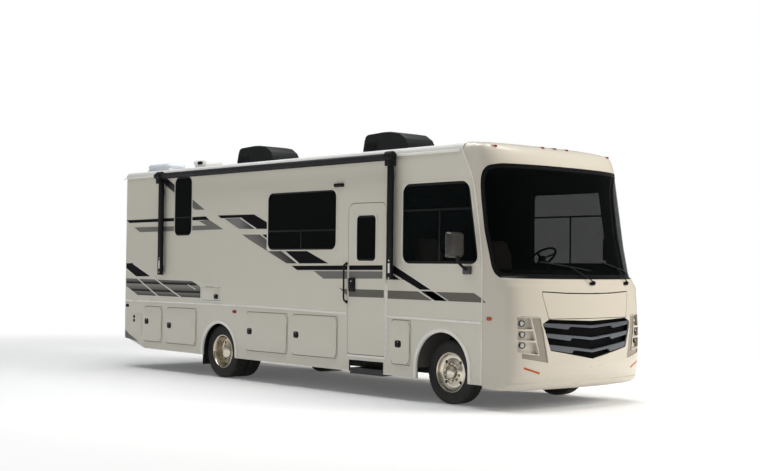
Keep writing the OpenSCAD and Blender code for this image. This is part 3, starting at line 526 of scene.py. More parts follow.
def meshFinish(name):
    material = finish(name, (0.006, 0.006, 0.007), 0.7, mottle=0.2, specular=0.05)
    tree = material.node_tree
    shader = tree.nodes["Principled BSDF"]
    cells = add(tree, "TexVoronoi", Scale=85.0, Randomness=0.0)
    tree.links.new(objectPlace(tree, (0.0, 1.0, 1.3)), cells.inputs["Vector"])
    bump = add(tree, "Bump", Strength=0.9, Distance=0.004)
    tree.links.new(cells.outputs["Distance"], bump.inputs["Height"])
    tree.links.new(bump.outputs["Normal"], shader.inputs["Normal"])
    # mesh openings coloured darker than the wires: painted shade in the holes of a solid plate
    holes = mixColours(tree, cells.outputs["Distance"], (0.010, 0.010, 0.011), (0.001, 0.001, 0.001))
    tree.links.new(holes, shader.inputs["Base Color"])
    return material


grilleMesh = meshFinish("grilleMesh")
# lighter than the body paint: a painted highlight on the belt moulding and the arch flanges
highlightTrim = finish("highlightTrim", (0.78, 0.755, 0.70), 0.30, mottle=0.03, coat=0.3, dust=paintLook["dust"])
mirrorBlack = finish("mirrorBlack", (0.040, 0.036, 0.033), 0.32, mottle=0.12, mottleScale=9, coat=0.25)
stripeBlack = (0.008, 0.007, 0.009)
decalWarm = finish("decalWarm", (0.135, 0.125, 0.108), 0.42, mottle=0.05, mottleScale=4, specular=0.2)
decalDrop = fade("decalDrop", "Z", 3.05, 2.62, stripeBlack, (0.150, 0.147, 0.145))
decalMid = fade("decalMid", "X", -1.15, -0.80, (0.200, 0.195, 0.190), stripeBlack)
decalLow = fade("decalLow", "X", 2.05, 2.62, (0.170, 0.160, 0.155), stripeBlack, slope=1.35)
decalBanded = banded("decalBanded", 1.205, 1.485, [
    (0.00, (0.060, 0.056, 0.050)), (0.24, (0.190, 0.180, 0.155)), (0.25, stripeBlack), (0.35, stripeBlack),
    (0.37, (0.110, 0.104, 0.090)), (0.66, (0.270, 0.258, 0.228)), (0.70, stripeBlack), (0.79, stripeBlack),
    (0.81, (0.085, 0.080, 0.070)), (1.00, (0.215, 0.206, 0.180))])
awningFabric = finish("awningFabric", (0.014, 0.014, 0.016), 0.6, mottle=0.15, mottleScale=6, grain=0.5,
                      grainScale=700, specular=0.3)
print("finishes made")


# camera, floor and lights
viewpoint = {"at": (14.2763, -12.4507, 1.6912), "heading": 2.4039, "rise": 0.0262, "roll": 0.0113,
             "lens": 59.81}
studio = {"floor": (0.86, 0.86, 0.855), "floorSize": 120, "sky": (0.90, 0.95, 1.0), "horizon": (0.62, 0.63, 0.62),
          "skyStrength": 0.27, "glow": 0.10, "clear": (4.9, 9.5), "centre": (0.3, -0.4)}
# place, what it points at, width, power, colour, seen in reflections
studioLights = {
    "keyLight": ((13.5, 8.5, 7.4), (2.5, 0, 1.6), 8, 2000, (1.0, 0.95, 0.87), False),
    "topLight": ((0, 0, 12), (0, 0, 2), 12, 1650, (1.0, 1.0, 1.0), True),
    "sideFill": ((-4, -16, 7), (-1.0, 0, 1.5), 9, 60, (0.98, 0.98, 1.0), True),
}


def setCamera():
    heading, rise, roll = (viewpoint[key] for key in ("heading", "rise", "roll"))
    ahead = Vector((math.cos(heading) * math.cos(rise), math.sin(heading) * math.cos(rise), math.sin(rise)))
    right = ahead.cross(Vector((0, 0, 1))).normalized()
    over = right.cross(ahead)
    tiltedRight = right * math.cos(roll) + over * math.sin(roll)
    tiltedOver = over * math.cos(roll) - right * math.sin(roll)
    clearSelection()
    bpy.ops.object.camera_add()
    camera = bpy.context.object
    camera.name = "camera"
    turn = Matrix((tiltedRight, tiltedOver, -ahead)).transposed()
    camera.matrix_world = Matrix.Translation(viewpoint["at"]) @ turn.to_4x4()
    camera.data.lens = viewpoint["lens"]
    camera.data.clip_end = 500
    bpy.context.scene.camera = camera


def areaLight(name, at, towards, size, power, colour, glossy):
    clearSelection()
    bpy.ops.object.light_add(type="AREA", location=at)
    lamp = bpy.context.object
    lamp.name = name
    lamp.rotation_euler = (Vector(towards) - Vector(at)).to_track_quat("-Z", "Y").to_euler()
    lamp.data.size = size
    lamp.data.energy = power
    lamp.data.color = colour
    lamp.visible_glossy = glossy  # whether it shows as a reflection


def setWorld():
    world = bpy.data.worlds.new("studio")
    bpy.context.scene.world = world
    world.use_nodes = True
    tree = world.node_tree
    tree.nodes.clear()
    place = add(tree, "TexCoord")
    split = add(tree, "SeparateXYZ")
    tree.links.new(place.outputs["Generated"], split.inputs[0])
    height = add(tree, "MapRange", From_Min=-0.05, From_Max=0.55, To_Min=0.0, To_Max=1.0)
    tree.links.new(split.outputs["Z"], height.inputs["Value"])
    sky = mixColours(tree, height.outputs["Result"], studio["horizon"], studio["sky"])
    lit = add(tree, "Background", Strength=studio["skyStrength"])
    tree.links.new(sky, lit.inputs["Color"])
    seen = add(tree, "Background", Color=(1, 1, 1, 1), Strength=1.0)
    rays = add(tree, "LightPath")
    choice = add(tree, "MixShader")
    tree.links.new(rays.outputs["Is Camera Ray"], choice.inputs[0])
    tree.links.new(lit.outputs[0], choice.inputs[1])
    tree.links.new(seen.outputs[0], choice.inputs[2])
    out = add(tree, "OutputWorld")
    tree.links.new(choice.outputs[0], out.inputs["Surface"])


def floorFinish():
    material = finish("studioFloor", studio["floor"], 0.9, mottle=0.0, roughSpread=0.0, specular=0.0)
    tree = material.node_tree
    shader = tree.nodes["Principled BSDF"]
    axes = objectAxes(tree)
    x = mathNode(tree, "SUBTRACT", axes["X"], studio["centre"][0])
    y = mathNode(tree, "SUBTRACT", axes["Y"], studio["centre"][1])
    along = mathNode(tree, "MULTIPLY", x, 0.62)
    away = mathNode(tree, "SQRT", mathNode(tree, "ADD", mathNode(tree, "MULTIPLY", along, along),
                                           mathNode(tree, "MULTIPLY", y, y)), 0.0)
    near, far = studio["clear"]
    share = add(tree, "MapRange", From_Min=near, From_Max=far, To_Min=0.0, To_Max=1.0)
    tree.links.new(away, share.inputs["Value"])
    share = share.outputs["Result"]
    tree.links.new(mixColours(tree, share, studio["floor"], (0, 0, 0)), shader.inputs["Base Color"])
    shader.inputs["Emission Color"].default_value = (1, 1, 1, 1)
    glow = mathNode(tree, "MULTIPLY_ADD", share, 1 - studio["glow"], studio["glow"])
    tree.links.new(glow, shader.inputs["Emission Strength"])
    return material


def setFloor():
    clearSelection()
    bpy.ops.mesh.primitive_plane_add(size=studio["floorSize"], location=(0, 0, -0.001))
    floor = named(settle(bpy.context.object), "studioFloor", floorFinish())


setCamera()
setWorld()
setFloor()
for name, light in studioLights.items():
    areaLight(name, *light)
bpy.context.scene.view_settings.view_transform = "Standard"
print("stage set")


# finishes of the frame's own nodes
nodeFinish = {
    bodyPaintLightened: ["right_wall", "left_wall", "right_skirt", "left_skirt", "rear_wall", "entry_door",
                "water_hatch"] + [side + "_bay_door_" + str(i) for side in ("right", "left")
                                  for i in range(1, 6)],
    frameBlack: ["chassis_frame", "front_axle", "rear_axle", "leaf_springs", "drive_shaft",
                 "right_knuckle", "left_knuckle", "rear_bumper", "entry_step"],
    castIron: ["engine"], tankPlastic: ["fuel_tank"], exhaustSteel: ["exhaust"],
    rubberBlack: ["mud_flaps"], carpet: ["floor", "engine_cover"], trayBoard: ["right_bays", "left_bays"],
    roofMembrane: ["roof"], ventWhite: ["roof_vents"], cabPlastic: ["dashboard"],
    blackPlastic: ["wipers", "air_conditioners"],
}


def dressNodes():
    for material, names in nodeFinish.items():
        for name in names:
            node = cadNodes[name]
            node.data.materials.clear()
            node.data.materials.append(material)


dressNodes()
print("frame nodes dressed")


# the front cap and what is cut from it
# level: height, how far the nose lies back, how far the sides lie in, fullness of the corner, bow
capShape = {
    "levels": [(0.258, 0.100, 0.026, 7, 0.165), (0.272, 0.072, 0.012, 7, 0.165), (0.300, 0.044, 0.004, 7, 0.165),
               (0.338, 0.028, 0.001, 7, 0.165), (0.352, 0.036, 0.0, 7, 0.165), (0.420, 0.012, 0.0, 7, 0.165),
               (0.560, 0.001, 0.0, 7, 0.165), (0.960, 0.001, 0.0, 7, 0.165), (1.080, 0.012, 0.0, 7, 0.165),
               (1.460, 0.048, 0.0, 6.5, 0.150), (1.540, 0.062, 0.0, 4, 0.100), (1.620, 0.076, 0.0, 2.6, 0.0),
               (2.000, 0.152, 0.0, 2.4, 0.0), (2.500, 0.252, 0.0, 2.4, 0.0), (2.960, 0.350, 0.0, 2.4, 0.0),
               (3.040, 0.390, 0.0, 2.4, 0.0), (3.110, 0.440, 0.0, 2.4, 0.0), (3.165, 0.495, 0.002, 2.4, 0.0),
               (3.205, 0.560, 0.014, 2.4, 0.0), (3.240, 0.650, 0.045, 2.4, 0.0), (3.270, 0.780, 0.105, 2.4, 0.0),
               (3.286, 0.900, 0.240, 2.4, 0.0), (3.292, 0.985, 0.480, 2.4, 0.0), (3.2935, 1.026, 0.900, 2.4, 0.0)],
    "cornerBack": [(1.50, 0.742), (1.62, 0.700), (2.90, 0.560)],
    "columns": 150, "rows": 150, "bow": 0.25, "sideShare": 0.10,
    "thick": 0.025, "start": 0.250,
    "seam": [(0.697, 0.10), (0.697, 1.68), (0.693, 1.80), (0.655, 2.12), (0.614, 2.38), (0.552, 2.722),
             (0.515, 2.84), (0.455, 2.960), (0.344, 3.165), (0.344, 3.40)],
}


def capLevel(height):
    levels = capShape["levels"]
    for low, high in zip(levels, levels[1:]):
        if height <= high[0]:
            share = max(0.0, (height - low[0]) / (high[0] - low[0]))
            return [a + (b - a) * share for a, b in zip(low, high)]
    return list(levels[-1])


def capReach(level, across, reach):
    _, _, _, fullness, bow = level
    return bow * (1 - across ** 2) + (reach - bow) * max(0.0, 1 - abs(across) ** fullness) ** (1 / fullness)


def between(stops, at):
    if at <= stops[0][0]:
        return stops[0][1]
    for (a, low), (b, high) in zip(stops, stops[1:]):
        if at <= b:
            return low + (high - low) * (at - a) / (b - a)
    return stops[-1][1]


def capStart(level):
    return min(frontX + between(capShape["cornerBack"], level[0]), noseX - level[1] - capShape["bow"])


def capPoint(along, height, depth=0.0):
    level = capLevel(height)
    half = max(0.02, halfWidth - level[2] - depth)
    start = capStart(level)
    rearEdge = min(frontX + capShape["start"], start - 0.05)
    side = capShape["sideShare"]
    if abs(along) > 1 - side:
        share = (1 - abs(along)) / side
        return Vector((rearEdge + (start - rearEdge) * share, math.copysign(half, along), height))
    turn = along / (1 - side)
    across = math.sin(math.radians(90) * math.copysign(abs(turn) ** 0.6, turn))
    return Vector((start + capReach(level, across, noseX - level[1] - depth - start), half * across, height))


def capX(y, z):
    level = capLevel(z)
    start = capStart(level)
    across = min(1.0, abs(y) / (halfWidth - level[2]))
    return start + capReach(level, across, noseX - level[1] - start)


def capHeights(rows):
    tops = [level[0] for level in capShape["levels"]]
    low, high = tops[0], tops[-1]
    heights = sorted(set([round(low + (high - low) * i / rows, 5) for i in range(rows + 1)]))
    for top in tops:
        nearest = min(range(len(heights)), key=lambda i: abs(heights[i] - top))
        if abs(heights[nearest] - top) < 0.012:
            heights[nearest] = top
    return heights


def capSheet(thick, depth=0.0, low=None, high=None):
    columns, rows = capShape["columns"], capShape["rows"]
    heights = [h for h in capHeights(rows) if (low is None or h >= low) and (high is None or h <= high)]
    clearSelection()
    bpy.ops.mesh.primitive_grid_add(x_subdivisions=columns, y_subdivisions=len(heights) - 1, size=2)
    sheet = bpy.context.object
    for corner in sheet.data.vertices:
        row = round((corner.co.y + 1) / 2 * (len(heights) - 1))
        corner.co = capPoint(corner.co.x, heights[row], depth)
    editAll(sheet)
    bpy.ops.mesh.remove_doubles(threshold=0.0004)
    bpy.ops.mesh.select_all(action="SELECT")
    bpy.ops.mesh.normals_make_consistent(inside=False)
    objectMode()
    foremost = max(sheet.data.polygons, key=lambda face: face.center.x)
    if foremost.normal.x < 0:
        editAll(sheet)
        bpy.ops.mesh.flip_normals()
        objectMode()
    return modify(sheet, "SOLIDIFY", thickness=thick, offset=-1, use_even_offset=True)


def frontPrism(outline, corner=0.0, turns=6):
    return plate(outline, noseX - 0.45, 0.6, "x", corner, turns)


def screenPrism():
    return plate(screenOutline(), -1.5, 3.0, "y")


def seamPrism(gap=0.0):
    outline = [(frontX + x + gap, z) for x, z in capShape["seam"]]
    outline += [(frontX - 0.6, 3.40), (frontX - 0.6, 0.10)]
    return plate(outline, -1.6, 3.2, "y")


screenShape = {
    "outline": [(0.650, 2.690), (0.663, 2.560), (0.722, 2.160), (0.835, 1.725), (0.880, 1.645),
                (0.940, 1.600), (1.600, 1.575), (1.600, 2.985), (0.830, 2.985), (0.720, 2.955),
                (0.668, 2.890), (0.650, 2.800)],
    "gap": 0.003, "thick": 0.008, "frit": 0.055, "proud": 0.0012,
}
hoodShape = {"half": 0.825, "top": 1.428, "low": 1.112, "taper": 0.075, "straight": 0.055, "sag": 0.024,
             "gap": 0.008, "topGap": 0.014, "thick": 0.012}
grilleShape = {
    "outline": [(-0.752, 1.103), (0.0, 1.076), (0.752, 1.103), (0.852, 1.052), (0.735, 0.729), (0.0, 0.609),
                (-0.735, 0.729), (-0.852, 1.052)],
    # each bar: outer top, outer low, step low, step high, middle top, middle low as (y, z)
    "bars": [[(0.843, 1.062), (0.812, 1.017), (0.442, 0.980), (0.394, 1.012), (0.0, 1.020), (0.0, 0.988)],
             [(0.790, 0.937), (0.776, 0.889), (0.409, 0.841), (0.370, 0.875), (0.0, 0.873), (0.0, 0.840)],
             [(0.748, 0.804), (0.725, 0.738), (0.375, 0.688), (0.335, 0.725), (0.0, 0.723), (0.0, 0.688)]],
}
podShape = {
    "lampY": 1.106, "lampZ": [1.058, 0.928, 0.799], "lampR": 0.038, "lean": 20.0,
    "region": [(0.872, 1.150), (1.215, 1.150), (1.215, 0.570), (0.752, 0.570), (0.762, 0.729), (0.859, 1.052)],
    # brow: a thin dark strip along the top of the pod, painted shade under the recess's upper edge
    "browShade": [(1.140, 1.1445), (0.876, 1.1345), (0.876, 1.1280), (1.140, 1.1375)], "deep": 0.085, "pocketDeep": 0.050,
    "pockets": [[(1.016, 1.124), (1.180, 1.137), (1.180, 0.990), (0.996, 0.992)],
                [(0.992, 0.968), (1.180, 0.968), (1.180, 0.862), (0.960, 0.856)],
                [(0.954, 0.832), (1.180, 0.840), (1.180, 0.722), (0.912, 0.690)]],
    "strip": [(1.003, 1.122), (0.878, 1.119), (0.769, 0.586), (1.132, 0.646), (1.132, 0.703), (0.902, 0.676)],
    "amber": [(1.106, 0.543), (0.889, 0.474), (0.895, 0.452), (1.106, 0.519)],
    "holes": [(0.151, 0.519), (-0.028, 0.519)],
}


def flipped(outline):
    return [(-a, b) for a, b in reversed(outline)]


def screenOutline():
    return [(frontX + x, z) for x, z in screenShape["outline"]]


def hoodOutline(gap, top):
    shape = hoodShape
    middle = [(0.0, shape["top"] + top - shape["sag"]), (0.42, shape["top"] + top - shape["sag"] * 0.78)]
    right = middle + [(shape["half"] + gap, shape["top"] + top),
                      (shape["half"] + gap, shape["top"] - shape["straight"]),
             (shape["half"] - shape["taper"] + gap, shape["low"] - gap)]
    return right + [(-a, b) for a, b in reversed(right[1:])]


def makeCap():
    skin = capSheet(capShape["thick"])
    cut(skin, seamPrism())
    cut(skin, screenPrism())
    cut(skin, frontPrism(hoodOutline(hoodShape["gap"], hoodShape["topGap"]), 0.010, 4))
    cut(skin, frontPrism(grilleShape["outline"], 0.012, 4))
    for sign in (1, -1):
        for pocket in podShape["pockets"]:
            outline = pocket if sign > 0 else flipped(pocket)
            cut(skin, frontPrism(outline, 0.008, 3))
        strip = podShape["strip"] if sign > 0 else flipped(podShape["strip"])
        cut(skin, frontPrism(strip))
    for y, z in podShape["holes"]:
        cut(skin, rod((noseX - 0.1, y, z), (noseX + 0.1, y, z), 0.006, 16))
    smooth(softEdges(skin, 0.0025, 2, 50), 35)
    return place(skin, "frontCapShell", "coach", capPaintDarkened, "front_paint", ["front_cap"])


def makeScreen():
    glass = cut(capSheet(screenShape["thick"], 0.001, 1.50, 3.05),
                plate(screenOutline(), -1.5, 3.0, "y", 0.03, 4), "INTERSECT")
    place(smooth(glass), "windscreenGlass", "coach", screenGlass, "tinted_glass", ["windshield"])
    border = ring(screenOutline(), -1.5, 3.0, screenShape["frit"], "y", 0.03, 4)
    frit = cut(capSheet(0.004, -screenShape["proud"], 1.50, 3.05), border, "INTERSECT")
    place(smooth(frit), "windscreenBorder", "coach", blackGloss, "gloss_black")


def makeHood():
    lid = cut(capSheet(hoodShape["thick"], 0.0, 1.05, 1.50),
              frontPrism(hoodOutline(0, 0), 0.010, 4), "INTERSECT")
    smooth(softEdges(lid, 0.0025, 2, 50), 35)
    place(lid, "hoodLidSkin", "hood_lid", capPaintDarkened, "front_paint", ["hood_lid"])


# near-black inner shell behind the cap and a dark ceiling sheet: painted shade for the unlit cab and body seen
# through the glass
def makeLining():
    inner = capSheet(0.003, capShape["thick"] + 0.003, 1.62, 3.16)
    cut(inner, seamPrism(0.004))
    cut(inner, screenPrism())
    place(inner, "cabLiningShade", "coach", liningShade, "cab_plastic")
    ceiling = block((tailX + 0.06, -halfWidth + 0.05, 3.086), (frontX + 0.52, halfWidth - 0.05, 3.094), 0.002, 1)
    place(ceiling, "ceilingLiningShade", "coach", liningShade, "cab_plastic")


makeCap()
makeScreen()
makeHood()
makeLining()
print("front cap, windscreen and hood made")


def capPiece(outline, low, high, thick, depth):
    region = plate(outline, noseX - 0.55, 0.7, "x")
    return cut(capSheet(thick, depth, low, high), region, "INTERSECT")


def grown(outline, by):
    middle = sum((Vector(p) for p in outline), Vector((0, 0))) / len(outline)
    return [tuple(middle + (Vector(p) - middle) * (1 + by / (Vector(p) - middle).length)) for p in outline]


def barOutline(half):
    outerTop, outerLow, stepLow, stepHigh, middleTop, middleLow = half
    right = [outerTop, outerLow, stepLow, stepHigh]
    return [middleTop] + right + [middleLow] + [(-y, z) for y, z in reversed(right)]


def makeGrille():
    outline = grilleShape["outline"]
    back = capPiece(grown(outline, 0.02), 0.55, 1.16, 0.008, 0.062)
    place(back, "grilleMesh", "coach", grilleMesh, "gloss_black", ["grille"])
    rim = capSheet(0.046, 0.020, 0.55, 1.16)
    cut(rim, plate(grown(outline, 0.02), noseX - 0.55, 0.7, "x"), "INTERSECT")
    cut(rim, plate(grown(outline, -0.001), noseX - 0.55, 0.7, "x"))
    place(smooth(rim), "grilleSurround", "coach", blackSatin, "gloss_black")
    for i, half in enumerate(grilleShape["bars"]):
        bar = capPiece(barOutline(half), 0.62, 1.14, 0.030, 0.010)
        place(softEdges(bar, 0.004, 3, 40), "grilleBar" + str(i + 1), "coach", slate, "gloss_black")


def lampPod(sign):
    shape = podShape
    turnedTo = (lambda outline: outline) if sign > 0 else flipped
    pod = capPiece(turnedTo(shape["region"]), 0.55, 1.20, shape["deep"], 0.0015)
    for pocket in shape["pockets"]:
        hollow = capPiece(turnedTo(grown(pocket, 0.002)), 0.60, 1.20, shape["pocketDeep"] + 0.03, -0.03)
        cut(pod, hollow)
    channel = capPiece(turnedTo(grown(shape["strip"], 0.001)), 0.55, 1.20, 0.06, -0.03)
    cut(pod, channel)
    side = "left" if sign > 0 else "right"
    place(smooth(pod), side + "LampPod", "coach", capPaintDarkened, "front_paint")
    strip = capPiece(turnedTo(grown(shape["strip"], 0.0005)), 0.55, 1.16, 0.02, 0.009)
    place(softEdges(strip, 0.002, 2, 50), side + "LampStrip", "coach", taupeAndShade, "front_paint")
    # thin taupe strip as painted shade along the pod's upper edge
    browShade = capPiece(turnedTo(shape["browShade"]), 1.08, 1.20, 0.004, -0.0012)
    place(browShade, side + "LampBrowShade", "coach", taupeAndShade, "front_paint")
    amber = capPiece(turnedTo(shape["amber"]), 0.43, 0.58, 0.010, -0.002)
    place(smooth(amber), side + "LowerReflector", "coach", amberLens, "lamp_red")


def makeLamps(sign):
    side = "left" if sign > 0 else "right"
    lean = math.radians(podShape["lean"])
    axis = Vector((math.cos(lean), sign * math.sin(lean), 0))
    rings, bowls, lenses = [], [], []
    r = podShape["lampR"]
    for z in podShape["lampZ"]:
        y = podShape["lampY"]
        centre = Vector((capX(y, z) - 0.028, sign * y, z))
        rings.append(turned([(r, -0.030), (r, 0.002), (r * 0.93, 0.006), (r * 0.84, 0.002), (r * 0.72, -0.004),
                             (r * 0.72, -0.030)], centre, 48, axis))
        bowls.append(turned([(r * 0.72, -0.006), (r * 0.58, -0.014), (r * 0.30, -0.024), (0, -0.026),
                             (0, -0.030), (r * 0.72, -0.030)], centre, 48, axis))
        bowls.append(turned([(0, -0.026), (r * 0.26, -0.026), (r * 0.26, -0.012), (r * 0.20, -0.006), (0, -0.004)],
                            centre, 32, axis))
        lenses.append(turned([(0, 0.003), (r * 0.45, 0.0025), (r * 0.84, -0.001), (r * 0.84, -0.004),
                              (0, 0.0)], centre, 48, axis))
    stands = {"stands": ["headlights"]} if sign > 0 else {}
    place(joined(rings), side + "LampRings", "coach", blackGloss, "gloss_black", **stands)
    place(joined(bowls), side + "LampReflectors", "coach", chrome, "lamp_clear")
    place(joined(lenses), side + "LampLenses", "coach", clearLens, "lamp_clear")


makeGrille()
for sign in (1, -1):
    lampPod(sign)
    makeLamps(sign)
print("grille and lamps made")


# seam, belt, arches and gutter
trimShape = {
    "beadR": 0.0075, "beadLow": 0.305, "beltZ": 1.100, "beltHigh": 0.030, "beltOut": 0.009,
    "beltRuns": [(-4.362, 1.338), (2.140, 3.822)], "beltLine": [(-1.0, 0.0), (3.8, -0.065)],
    "arches": [(3.155, 0.455, 0.454), (-1.638, 0.425, 0.404)], "archWide": 0.048, "archOut": 0.012,
    "railLow": 3.150, "railHigh": 3.181, "railOut": 0.017, "roofEdge": 0.095, "roofCrown": 0.135,
    "skirtRear": (-3.745, 0.340), "skirtFront": (3.832, 0.297),
}


def seamX(z):
    seam = capShape["seam"]
    for (x0, z0), (x1, z1) in zip(seam, seam[1:]):
        if z <= z1:
            return frontX + x0 + (x1 - x0) * (z - z0) / (z1 - z0)
    return frontX + seam[-1][0]


def roofTrack():
    edge, crown = trimShape["roofEdge"], trimShape["roofCrown"]
    half = halfWidth - edge
    track = [(half + edge * math.cos(a), gutterZ + edge * math.sin(a))
             for a in [math.radians(9 * i) for i in range(10)]]
    track += [(half * (1 - i / 10), gutterZ + edge + (crown - edge) * (1 - (1 - i / 10) ** 2))
              for i in range(1, 11)]
    return track


def makeSeamBead():
    lift = 0.002
    low = trimShape["beadLow"]
    heights = [low + (gutterZ - low) * i / 40 for i in range(40)]
    side = [(seamX(z), halfWidth + lift, z) for z in heights]
    over = [(seamX(3.2), y + lift * 0.7, z + lift) for y, z in roofTrack()]
    half = side + over
    points = [(x, -y, z) for x, y, z in half] + list(reversed(half[:-1]))
    place(tube(points, trimShape["beadR"], 3, 3), "capSeamBead", "coach", trimWhite, "roof_skin")


def skirtLow(x):
    (x0, z0), (x1, z1) = trimShape["skirtRear"], trimShape["skirtFront"]
    return z0 + (z1 - z0) * (x - x0) / (x1 - x0)


def archOutline(centre, radius, height, wide):
    outline = []
    for r, ends in ((radius + wide, 1), (radius - 0.002, -1)):
        arc = [(centre + r * math.cos(math.radians(a)), height + r * math.sin(math.radians(a)))
               for a in range(0, 181, 6)]
        legs = [(centre + r, skirtLow(centre + r) + 0.001)] + arc + [(centre - r, skirtLow(centre - r) + 0.001)]
        outline += legs if ends > 0 else list(reversed(legs))
    return outline


def makeTrims():
    shape = trimShape
    runs = [("right", x0, x1) for x0, x1 in shape["beltRuns"]]
    runs.append(("left", shape["beltRuns"][0][0], shape["beltRuns"][1][1]))
    for i, (side, x0, x1) in enumerate(runs):
        stops = [x0] + [x for x, _ in shape["beltLine"] if x0 < x < x1] + [x1]
        line = [(x, shape["beltZ"] + between(shape["beltLine"], x)) for x in stops]
        outline = line + [(x, z + shape["beltHigh"]) for x, z in reversed(line)]
        strip = plate(outline, -halfWidth - shape["beltOut"], shape["beltOut"] + 0.001, "y")
        softEdges(strip, 0.0075, 4, 40)
        if side == "left":
            strip = otherSide(strip)
        # belt moulding in the lighter trim colour: painted highlight on its rounded top edge
        place(strip, side + "_beltMoulding" + str(i % 2 + 1), "coach", highlightTrim, "body_paint")
    # arch trims in the lighter trim colour: painted highlight on the forward-facing flange
    for name, (x, radius, height) in zip(("frontArchTrim", "rearArchTrim"), shape["arches"]):
        trim = plate(archOutline(x, radius, height, shape["archWide"]), -halfWidth - shape["archOut"],
                     shape["archOut"] + 0.022, "y", edge=0.005)
        bothSides(trim, name, ["coach"], highlightTrim, "body_paint")
    low, high, out = shape["railLow"], shape["railHigh"], shape["railOut"]
    rail = block((tailX + 0.052, -halfWidth - out, low), (frontX + 0.306, -halfWidth + 0.002, high), 0.006, 3)
    bothSides(rail, "gutterRail", ["coach"], trimWhite, "roof_skin")
    spout = tube([(tailX + 0.075, -halfWidth - 0.010, 3.166), (tailX + 0.02, -halfWidth - 0.014, 3.160),
                  (tailX - 0.045, -halfWidth - 0.012, 3.150)], 0.010, 3, 3)
    bothSides(spout, "drainSpout", ["coach"], trimWhite, "roof_skin")


makeSeamBead()
makeTrims()


# small lamps on the body
smallLamps = {
    "capTop": [(0.0, 3.238), (0.235, 3.236), (-0.235, 3.236), (1.10, 3.202), (-1.10, 3.202)],
    "capSide": (3.955, 1.103), "sideRed": (-1.234, 1.020), "sideDark": (-4.298, 1.024),
    "porch": (1.156, 2.822),
}


def oval(at, size, out, edge=0.004):
    x, z = at
    w, h = size[0] / 2, size[1] / 2
    return plate(rectangle(x - w, z - h, x + w, z + h), -halfWidth - out, out + 0.002, "y", min(w, h) * 0.98, 8,
                 edge=edge)


def makeSmallLamps():
    shape = smallLamps
    for i, (y, z) in enumerate(shape["capTop"]):
        x = capX(y, z)
        base = block((x - 0.05, y - 0.034, z - 0.016), (x + 0.010, y + 0.034, z + 0.017), 0.004)
        place(base, "capMarkerBase" + str(i + 1), "coach", capPaintDarkened, "front_paint")
        lens = block((x - 0.04, y - 0.026, z - 0.011), (x + 0.020, y + 0.026, z + 0.013), 0.007, 4)
        place(lens, "capMarkerLens" + str(i + 1), "coach", redLens, "lamp_red")
    for name, spot, size, out, material, slot in (
            ("capSideMarker", shape["capSide"], (0.085, 0.046), 0.014, amberLens, "lamp_red"),
            ("sideMarkerRed", shape["sideRed"], (0.095, 0.048), 0.016, redLens, "lamp_red"),
            ("sideMarkerRear", shape["sideDark"], (0.100, 0.054), 0.012, blackGloss, "gloss_black")):
        bezel = oval(spot, (size[0] + 0.012, size[1] + 0.012), out * 0.4)
        bothSides(bezel, name + "Base", ["coach"], bodyPaintLightened if material is not blackGloss else chrome,
                  "body_paint")
        bothSides(oval(spot, size, out, edge=0.006), name, ["coach"], material, slot)
    x, z = shape["porch"]
    place(oval((x, z), (0.205, 0.052), 0.026, edge=0.010), "porchLampHousing", "coach", blackGloss, "gloss_black")
    place(oval((x + 0.005, z - 0.003), (0.120, 0.024), 0.029, edge=0.004), "porchLampLens", "coach", shroudCharcoal,
          "gloss_black")


makeSmallLamps()
print("trims and small lamps made")


# mirrors and wipers
mirrorShape = {"base": (3.595, 1.683), "headX": (3.562, 3.658), "headY": (1.3795, 1.6680),
               "headZ": (1.822, 2.153), "arm": 0.017, "inward": 0.078}
wiperShape = {"pivots": [(0.058, -0.380), (0.806, 0.590)], "pivotZ": 1.536, "blade": 0.86, "arm": 0.007}


def makeMirror():
    shape = mirrorShape
    bx, bz = shape["base"]
    foot = block((bx - 0.066, -halfWidth - 0.041, bz - 0.052), (bx + 0.066, -halfWidth, bz + 0.052), 0.014, 4)
    reach = 0.266 - shape["inward"]
    arm = tube([(bx, -halfWidth - 0.03, bz + 0.010), (bx, -halfWidth - 0.06, bz + 0.014),
                (bx, -halfWidth - reach + 0.04, bz + 0.074), (bx, -halfWidth - reach + 0.008, bz + 0.100),
                (bx + 0.002, -halfWidth - reach, bz + 0.125), (bx + 0.004, -halfWidth - reach, bz + 0.17)],
               shape["arm"], 3, 4)
    (x0, x1), (y0, y1), (z0, z1) = shape["headX"], shape["headY"], shape["headZ"]
    clearSelection()
    bpy.ops.mesh.primitive_cube_add(size=1, location=((x0 + x1) / 2, -(y0 + y1) / 2, (z0 + z1) / 2),
                                    scale=(x1 - x0, y1 - y0, z1 - z0))
    head = settle(bpy.context.object)
    for corner in head.data.vertices:
        if corner.co.x > (x0 + x1) / 2:
            corner.co.y += 0.030 if corner.co.y < -(y0 + y1) / 2 else -0.030
            corner.co.z += -0.030 if corner.co.z > (z0 + z1) / 2 else 0.045
    softEdges(head, 0.034, 6)
    stub = rod((bx + 0.004, -halfWidth - reach, z0 - 0.02), (bx + 0.004, -halfWidth - reach, z0 + 0.03), 0.024,
               32, 0.004)
    bothSides(joined([head, foot]), "mirrorShell", ["coach"], mirrorBlack, "gloss_black",
              ["right_mirror", "left_mirror"])
    bothSides(joined([arm, stub]), "mirrorArm", ["coach"], blackPlastic, "gloss_black")
    glass = plate(rectangle(-y1 + 0.022, z0 + 0.085, -y0 - 0.022, z1 - 0.022), x0 - 0.002, 0.004, "x", 0.022, 5)
    low = plate(rectangle(-y1 + 0.022, z0 + 0.018, -y0 - 0.022, z0 + 0.076), x0 - 0.002, 0.004, "x", 0.016, 5)
    bothSides(joined([glass, low]), "mirrorGlass", ["coach"], chrome, "tinted_glass")


